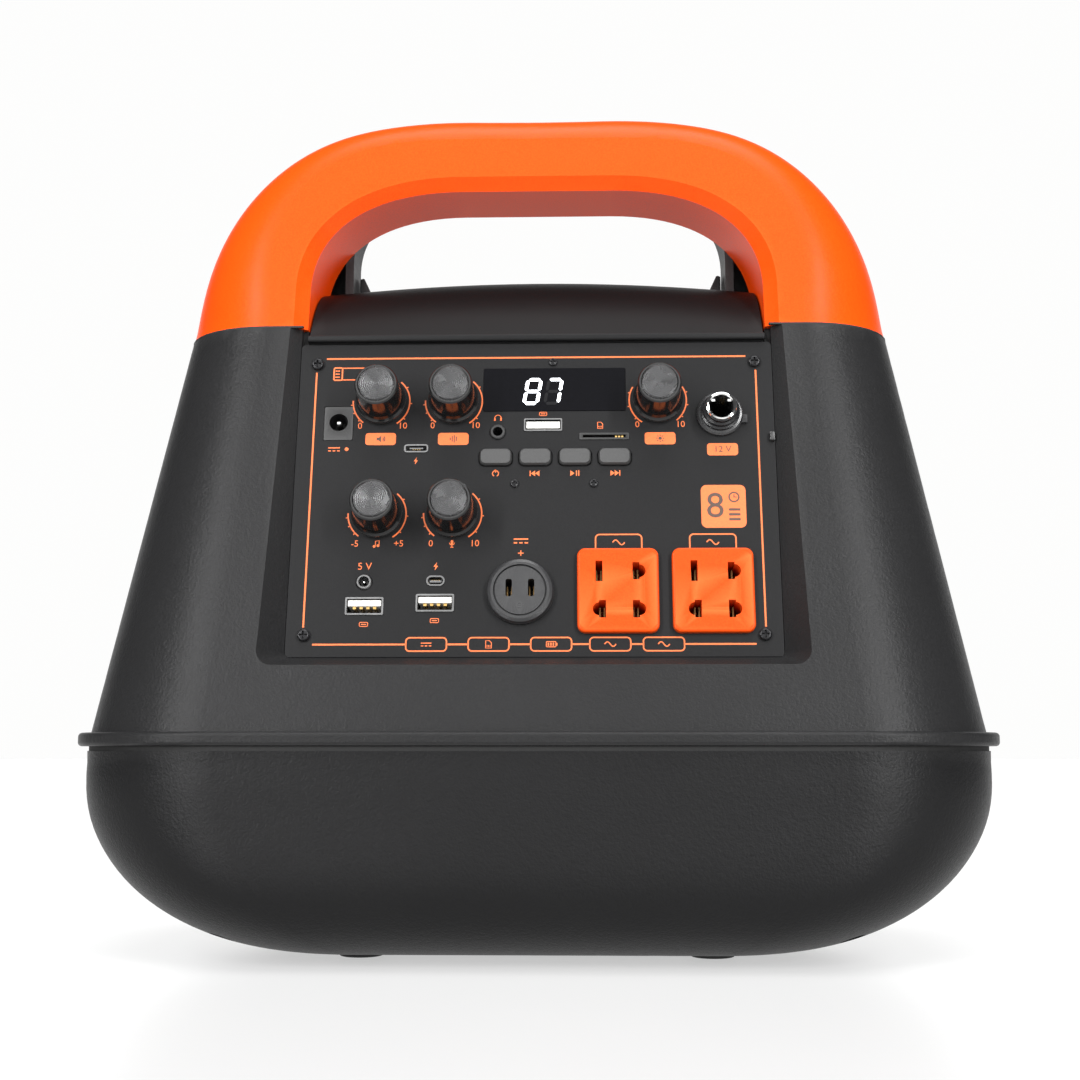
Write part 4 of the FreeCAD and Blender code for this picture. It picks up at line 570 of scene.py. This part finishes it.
def panel_print():
    mesh = bmesh.new()
    dark = bmesh.new()
    panel_frame(mesh)
    full_left, full_right = (178.0, 232.0), (48.0, -56.0)
    for name in ("volume", "bass", "treble", "mic"):
        dial_arcs(mesh, KNOBS[name], full_left, full_right)
    dial_arcs(mesh, KNOBS["light"], (150.0, 236.0), (30.0, -50.0))
    for name, low_mark, high_mark in (("volume", "0", "10"), ("bass", "0", "10"), ("light", "0", "10"),
                                      ("treble", "-5", "+5"), ("mic", "0", "10")):
        u, v = KNOBS[name]
        drop = 9.4 if v > 60 else 10.9
        lettering(mesh, low_mark, 3.3, (u - 7.4, v - drop), INK_LOW, INK_HIGH)
        lettering(mesh, high_mark, 3.3, (u + 7.9, v - drop), INK_LOW, INK_HIGH)
    for spot, icon in (((-54.9, 79.7), icon_speaker), ((-29.0, 79.6), icon_clef), ((44.4, 79.4), icon_lamp)):
        slab(mesh, rounded(spot, 10.9, 4.6, 1.1), INK_LOW, INK_HIGH)
        icon(dark, spot, 1.45, OVER_LOW, OVER_HIGH)
    slab(mesh, rounded((66.3, 75.1), 10.9, 4.6, 1.1), INK_LOW, INK_HIGH)
    lettering(dark, "12 V", 3.3, (66.3, 75.1), OVER_LOW, OVER_HIGH)
    icon_note(mesh, (-55.1, 40.4), 1.3, INK_LOW, INK_HIGH)
    icon_mic(mesh, (-28.6, 40.4), 1.4, INK_LOW, INK_HIGH)

    icon_direct(mesh, (-71.4, 75.9), 1.5, INK_LOW, INK_HIGH)
    slab(mesh, circle((-66.9, 75.9), 0.7, 14), INK_LOW, INK_HIGH)
    icon_bolt(mesh, (-42.1, 71.3), 1.35, INK_LOW, INK_HIGH)
    icon_phones(mesh, (-13.2, 87.6), 1.45, INK_LOW, INK_HIGH)
    icon_plug(mesh, (2.9, 89.0), 1.0, INK_LOW, INK_HIGH)
    icon_card(mesh, (23.2, 84.5), 1.2, INK_LOW, INK_HIGH)
    for (u, icon) in zip(BUTTONS.values(), (icon_mode, icon_previous, icon_play, icon_next)):
        icon(mesh, (u, 66.4), 1.35, INK_LOW, INK_HIGH)
    lettering(mesh, "5 V", 3.6, (-58.7, 32.2), INK_LOW, INK_HIGH)
    icon_bolt(mesh, (-34.0, 32.2), 1.5, INK_LOW, INK_HIGH)
    icon_plug(mesh, (-58.3, 11.5), 1.1, INK_LOW, INK_HIGH)
    icon_plug(mesh, (-34.0, 12.8), 1.1, INK_LOW, INK_HIGH)
    icon_direct(mesh, (-4.6, 41.4), 1.8, INK_LOW, INK_HIGH)
    lettering(mesh, "+", 4.2, (-4.6, 36.7), INK_LOW, INK_HIGH)

    icon_cell_outline(mesh)
    for spot in AC_OUTLETS:
        u = spot[0] + 0.4
        bracket = [(u - 8.0, 38.5)] + arc((u - 6.6, 42.2), 1.4, 180.0, 90.0, 5)
        bracket += arc((u + 6.6, 42.2), 1.4, 90.0, 0.0, 5) + [(u + 8.0, 38.5)]
        stroke(mesh, bracket, 0.5, INK_LOW, INK_HIGH)
        icon_wave(mesh, (u, 40.7), 1.4, INK_LOW, INK_HIGH)

    hours_badge(mesh, dark)
    finish_piece("panel_print", mesh, PANEL, INK_ORANGE)
    finish_piece("panel_print_dark", dark, PANEL, INK_DARK)


def icon_cell_outline(mesh):
    """Battery sign at the panel's corner: a barred end and a long outline behind the first knob."""
    stroke(mesh, rounded((-71.2, 105.0), 3.0, 4.8, 0.5, 3), 0.55, INK_LOW, INK_HIGH, True)
    for v in (103.8, 105.0, 106.2):
        stroke(mesh, [(-72.2, v), (-70.6, v)], 0.45, INK_LOW, INK_HIGH)
    for v in (102.7, 107.3):
        stroke(mesh, [(-69.6, v), (-60.6, v)], THIN, INK_LOW, INK_HIGH)
    stroke(mesh, [(-60.6, 102.5), (-60.6, 107.5)], THIN, INK_LOW, INK_HIGH)


def hours_badge(mesh, dark):
    """Orange rounded square with a large figure, a small clock and two bars."""
    centre = (66.0, 53.8)
    slab(mesh, rounded(centre, 15.6, 15.8, 2.0), INK_LOW, INK_HIGH)
    lettering(dark, "8", 13.2, (centre[0] - 2.9, centre[1] - 0.1), OVER_LOW, OVER_HIGH)
    clock = (centre[0] + 3.7, centre[1] + 3.4)
    stroke(dark, circle(clock, 1.7, 20), 0.55, OVER_LOW, OVER_HIGH, True)
    stroke(dark, [(clock[0], clock[1] + 1.0), clock, (clock[0] + 0.9, clock[1])], 0.4, OVER_LOW, OVER_HIGH)
    for drop in (1.2, 3.0, 4.8):
        spot = (centre[0] + 3.8, centre[1] - drop)
        slab(dark, rounded(spot, 4.0, 0.9, 0.2, 2), OVER_LOW, OVER_HIGH)


# ---------------------------------------------------------------- display
def segment(mesh, start, stop, width, slant, low, high):
    """One bar of a seven-bar figure, pointed at both ends, leaning to the right."""
    a, b = Vector(start), Vector(stop)
    along = (b - a).normalized()
    side = Vector((-along.y, along.x)) * (width / 2)
    nose = along * (width / 2)
    points = [a, a + nose + side, b - nose + side, b, b - nose - side, a + nose - side]
    slab(mesh, [(p.x + slant * p.y, p.y) for p in points], low, high)


def display_digits():
    half_w, half_h, gap, width, slant = 2.35, 4.6, 0.28, 1.15, 0.16
    corners = {"tl": (-half_w, half_h), "tr": (half_w, half_h), "ml": (-half_w, 0.0),
               "mr": (half_w, 0.0), "bl": (-half_w, -half_h), "br": (half_w, -half_h)}
    bars = {"top": ("tl", "tr"), "upper_left": ("ml", "tl"), "upper_right": ("mr", "tr"),
            "middle": ("ml", "mr"), "lower_left": ("bl", "ml"), "lower_right": ("br", "mr"),
            "bottom": ("bl", "br")}
    figures = ((-0.9, set(bars)), (6.6, {"top", "upper_right", "lower_right"}))
    lit, unlit = bmesh.new(), bmesh.new()
    for u, shown in figures:
        for name, (first, last) in bars.items():
            a, b = Vector(corners[first]), Vector(corners[last])
            inset = (b - a).normalized() * gap
            target = lit if name in shown else unlit
            count = len(target.verts)
            segment(target, a + inset, b - inset, width, slant, 0.24, 0.30)
            target.verts.ensure_lookup_table()
            shift = Vector((u, DISPLAY[1] - 0.8, 0.0)) * MM
            for vertex in target.verts[count:]:
                vertex.co += shift
    finish_piece("display_digits", lit, PANEL, SEGMENT)
    finish_piece("display_dim_segments", unlit, PANEL, SEGMENT_OFF)


# ---------------------------------------------------------------- knobs and sockets
def knob_faces():
    for name, spot in KNOBS.items():
        profile = [(0, -1.2), (6.3, -1.2), (6.42, -1.1), (6.42, -0.32), (6.34, -0.2), (6.15, -0.12)]
        rings = 9
        for i in range(rings):
            outer = 6.1 - i * 0.66
            profile += [(outer, -0.05), (outer - 0.12, 0.0), (outer - 0.5, 0.0), (outer - 0.6, -0.05)]
        profile += [(0.1, -0.05), (0, 0.0)]
        cap = finish_piece("knob_face_" + name, lathe(profile, 96), panel_at(spot, KNOB_TOP),
                           MATERIALS["cap_aluminium"], name + "_control")
        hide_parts("knob_cap_" + name)


def usb_tongues():
    mesh, pads = bmesh.new(), bmesh.new()
    for spot in USB_A_PORTS:
        slab(mesh, rounded((spot[0], spot[1] + 1.15), 11.5, 2.1, 0.25, 3), -10.0, -0.35)
        for i in range(4):
            u = spot[0] - 3.5 + i * 2.33
            slab(pads, rounded((u, spot[1] - 0.35), 1.1, 1.0, 0.15, 2), -9.0, -0.9)
    slab(mesh, rounded((MEDIA_USB[0], MEDIA_USB[1] + 0.1), 11.9, 2.5, 0.25, 3), -9.6, -0.3)
    finish_piece("usb_tongues", mesh, PANEL, TONGUE)
    for k in range(3):
        u = CARD_SLOT[0] + 4.2 + k * 1.1
        slab(pads, rounded((u, CARD_SLOT[1]), 0.7, 0.8, 0.1, 2), -8.0, -0.3)
    for u in (-1.2, -0.4, 0.4, 1.2):
        slab(pads, rounded((TYPE_C[0] + u, TYPE_C[1] + 0.42), 0.32, 0.2, 0.04, 2), -6.0, -0.9)
        slab(pads, rounded((MICRO_USB[0] + u, MICRO_USB[1] - 0.05), 0.36, 0.2, 0.04, 2), -4.6, -0.9)
    finish_piece("port_contacts", pads, PANEL, CONTACT)


def outlet_blades():
    """Sprung brass contacts part-way down the outlet openings."""
    mesh = bmesh.new()
    for spot in AC_OUTLETS:
        for u, v in AC_CONTACTS:
            for side in (-1, 1):
                centre = (spot[0] + u + side * 0.75, spot[1] + v)
                slab(mesh, rounded(centre, 0.5, 4.6, 0.2, 2), -13.6, -4.5)
    for u in (-ROUND_SLOT_U, ROUND_SLOT_U):
        for side in (-1, 1):
            centre = (ROUND_OUTLET[0] + u + side * 0.7, ROUND_OUTLET[1] + 0.9)
            slab(mesh, rounded(centre, 0.4, 4.4, 0.15, 2), -11.6, -3.5)
    finish_piece("outlet_blades", mesh, PANEL, BLADE)


def outlet_mark():
    """Small raised index below the slots of the round outlet."""
    mesh = bmesh.new()
    centre = (ROUND_OUTLET[0] - 0.1, ROUND_OUTLET[1] - 5.2)
    stroke(mesh, arc(centre, 0.9, 20.0, 340.0, 12), 0.3, 2.85, 3.05)
    stroke(mesh, [(centre[0] - 0.4, centre[1]), (centre[0] + 1.3, centre[1])], 0.3, 2.85, 3.05)
    finish_piece("outlet_mark", mesh, PANEL, MATERIALS["outlet_black"])


def socket_details():
    lugs = bmesh.new()
    for angle in (38.0, 142.0):
        centre = arc((0, 0), 3.6, angle, angle, 1)[0]
        slab(lugs, rounded(centre, 1.3, 0.9, 0.25, 3), 3.0, 7.9)
    finish_piece("socket_lugs", lugs, panel_at(DC12_SOCKET), MATERIALS["ring_chrome"])
    pin = lathe([(0, -19.9), (2.0, -19.9), (2.0, -18.0), (1.2, -17.6), (1.05, -6.0), (0.6, -5.2),
                 (0, -5.0)], 32)
    finish_piece("socket_pin", pin, panel_at(DC12_SOCKET), CONTACT)
    barrel = lathe([(0, -9.4), (0.98, -9.4), (0.98, -1.15), (0.7, -0.8), (0, -0.7)], 24)
    finish_piece("charge_pin", barrel, panel_at((DC_IN[0], DC_IN[1] + 0.4), 0.3), MATERIALS["ring_chrome"])
    small = lathe([(0, -8.9), (0.52, -8.9), (0.52, -1.0), (0.3, -0.6), (0, -0.5)], 20)
    finish_piece("jack_pin", small, panel_at(DC5_JACK, 0.2), MATERIALS["ring_chrome"])


# ---------------------------------------------------------------- enclosure details
def shell_outline(z, grow, steps=10):
    """Points round the tapered shell at height z, pushed out by grow, all in millimetres."""
    rise = z - SHELL_FOOT_Z
    half_width = SHELL_HALF_WIDTH - SIDE_TAPER * rise + grow
    half_depth = SHELL_HALF_DEPTH - FACE_TAPER * rise + grow
    widest = SHELL_HALF_DEPTH - FACE_TAPER * rise - SIDE_FLAT_HALF
    radius = min(SHELL_CORNER - CORNER_TAPER * rise, widest) + grow
    return rounded((0, 0), 2 * half_width, 2 * half_depth, radius, steps)


def end_run(points, side):
    """The half of a shell outline round one end, carried inwards to the hand opening."""
    quarter = len(points) // 4
    run = points[3 * quarter:] + points[:quarter] if side > 0 else points[quarter:3 * quarter]
    return [(side * 84.0, run[0][1])] + run + [(side * 84.0, run[-1][1])]


def seam_gasket():
    """Thin dark joint line between the shell and the handle's feet, left out across the deck."""
    mesh = bmesh.new()
    outer, inner = shell_outline(SEAM_Z, 0.12), shell_outline(SEAM_Z, -1.4)
    for side in (-1, 1):
        ribbon(mesh, end_run(outer, side), end_run(inner, side), SEAM_Z - 0.35, SEAM_Z + 0.3, False)
    finish_piece("seam_gasket", mesh, Matrix.Identity(4), MATERIALS["seal_rubber"])


def grille_cloth():
    """Woven cloth stretched behind the rear grille, dished a little."""
    profile = [(0, -0.9), (20.0, -0.8), (38.5, -0.35), (40.0, -0.1), (40.0, -0.02), (38.5, -0.25),
               (20.0, -0.7), (0, -0.8)]
    place = REAR @ Matrix.Translation(Vector((0, SPEAKER_V, 0)) * MM)
    finish_piece("grille_cloth", lathe(profile, 72), place, CLOTH)


def bevelled(mesh, width, segments=3):
    sharp = [e for e in mesh.edges if len(e.link_faces) == 2 and e.calc_face_angle() > math.radians(30)]
    bmesh.ops.bevel(mesh, geom=sharp, offset=width * MM, segments=segments, profile=0.5, affect="EDGES")
    return mesh


def deck_lip():
    """Rounded ledge along the deck's front foot, just above the control panel."""
    mesh = bmesh.new()
    slab(mesh, [(-82.9, -35.9), (82.9, -35.9), (82.9, -33.2), (-82.9, -33.2)], 218.7, 221.2)
    bmesh.ops.recalc_face_normals(mesh, faces=mesh.faces)
    finish_piece("deck_lip", bevelled(mesh, 0.8), Matrix.Identity(4), MATERIALS["panel_grey"])


def post_gussets():
    """Small wedge standing on the deck beside the foot of each rear post."""
    upright = Matrix(((1, 0, 0, 0), (0, 0, -1, 0), (0, 1, 0, 0), (0, 0, 0, 1)))
    for side, name in ((-1, "post_gusset_left"), (1, "post_gusset_right")):
        mesh = bmesh.new()
        profile = [(side * 72.2, 246.0), (side * 72.2, 259.6), (side * 70.6, 260.0), (side * 66.6, 251.4),
                   (side * 66.6, 246.0)]
        slab(mesh, profile, -29.0, -21.0)
        bmesh.ops.recalc_face_normals(mesh, faces=mesh.faces)
        finish_piece(name, bevelled(mesh, 0.5), upright, MATERIALS["rear_cover_black"])


def recess_nub():
    """Locating nub on the right wall of the panel recess."""
    mesh = bmesh.new()
    slab(mesh, rounded((83.9, 79.6), 1.8, 3.2, 0.3, 3), -0.1, 1.6)
    bmesh.ops.recalc_face_normals(mesh, faces=mesh.faces)
    finish_piece("recess_nub", bevelled(mesh, 0.25, 2), PANEL, MATERIALS["port_black"])


panel_print()
display_digits()
knob_faces()
usb_tongues()
outlet_blades()
outlet_mark()
socket_details()
seam_gasket()
grille_cloth()
deck_lip()
post_gussets()
recess_nub()


# ---------------------------------------------------------------- stage, lights, camera
FLOOR_REACH = 12.0
FLOOR_GLOW = 0.50
WALL_WHITE = (0.985, 0.985, 0.98)
ROOM_DARK = (0.075, 0.075, 0.077)
WALL_FADE_FROM, WALL_FADE_TO = 0.66, 0.80
CAMERA_SPOT = (0.0172, -0.5843, 0.072)
CAMERA_PITCH = math.radians(7.667)
CAMERA_YAW = math.radians(-1.619)
CAMERA_LENS = 52.0
SENSOR_WIDTH = 36.0


def floor():
    """Wide pale ground with a little glow of its own, so it stays near white."""
    mesh = bmesh.new()
    bmesh.ops.create_grid(mesh, x_segments=8, y_segments=8, size=FLOOR_REACH)
    data = bpy.data.meshes.new("floor")
    mesh.to_mesh(data)
    mesh.free()
    material, tree, shader = nodes_of("floor_pale")
    where = tree.nodes.new("ShaderNodeTexCoord").outputs["Object"]
    patch = noise(tree, where, 6.0, 2.0)
    tree.links.new(mixed(tree, patch, (0.25, 0.25, 0.25), (0.27, 0.27, 0.268)), shader.inputs["Base Color"])
    shader.inputs["Roughness"].default_value = 0.30
    shader.inputs["Specular IOR Level"].default_value = 0.35
    shader.inputs["Emission Color"].default_value = (1.0, 1.0, 1.0, 1.0)
    shader.inputs["Emission Strength"].default_value = FLOOR_GLOW
    data.materials.append(material)
    ground = bpy.data.objects.new("floor", data)
    bpy.context.scene.collection.objects.link(ground)


def soft_world():
    """A white wall behind the object and a dark room round the rest, so dark surfaces stay dark."""
    world = bpy.data.worlds.new("studio")
    world.use_nodes = True
    tree = world.node_tree
    background = tree.nodes["Background"]
    where = tree.nodes.new("ShaderNodeTexCoord").outputs["Generated"]
    split = tree.nodes.new("ShaderNodeSeparateXYZ")
    tree.links.new(where, split.inputs["Vector"])
    share = ranged(tree, split.outputs["Y"], WALL_FADE_FROM, WALL_FADE_TO, 0.0, 1.0)
    tone = mixed(tree, share, ROOM_DARK, WALL_WHITE)
    tree.links.new(tone, background.inputs["Color"])
    background.inputs["Strength"].default_value = 1.0
    bpy.context.scene.world = world


def aim(holder, target):
    holder.rotation_euler = (Vector(target) - holder.location).to_track_quat("-Z", "Y").to_euler()


def area_light(name, spot, target, width, height, power):
    data = bpy.data.lights.new(name, "AREA")
    data.shape = "RECTANGLE"
    data.size, data.size_y = width, height
    data.energy = power
    holder = bpy.data.objects.new(name, data)
    bpy.context.scene.collection.objects.link(holder)
    holder.location = spot
    aim(holder, target)


def sun_light(name, spot, power, spread):
    data = bpy.data.lights.new(name, "SUN")
    data.energy = power
    data.angle = math.radians(spread)
    holder = bpy.data.objects.new(name, data)
    bpy.context.scene.collection.objects.link(holder)
    holder.location = spot
    aim(holder, (0.0, 0.0, 0.0))


def camera():
    data = bpy.data.cameras.new("camera")
    data.lens = CAMERA_LENS
    data.sensor_width = SENSOR_WIDTH
    data.clip_start = 0.01
    holder = bpy.data.objects.new("camera", data)
    bpy.context.scene.collection.objects.link(holder)
    pitch, yaw = CAMERA_PITCH, CAMERA_YAW
    forward = Vector((math.sin(yaw) * math.cos(pitch), math.cos(yaw) * math.cos(pitch), math.sin(pitch)))
    holder.location = CAMERA_SPOT
    holder.rotation_euler = forward.to_track_quat("-Z", "Y").to_euler()
    bpy.context.scene.camera = holder


floor()
soft_world()
sun_light("high_sun", (0.10, -0.62, 2.2), 2.8, 40.0)
area_light("left_strip", (-0.84, -1.16, 0.62), (-0.13, -0.04, 0.15), 0.10, 1.2, 27.0)
area_light("right_strip", (0.84, -1.16, 0.62), (0.13, -0.04, 0.15), 0.10, 1.2, 29.0)
area_light("front_box", (0.0, -1.75, 1.25), (0.0, 0.0, 0.15), 1.7, 0.7, 7.0)
area_light("low_box", (0.0, -2.2, 0.46), (0.0, 0.0, 0.08), 2.0, 0.36, 9.5)
camera()
bpy.context.scene.view_settings.view_transform = "Standard"
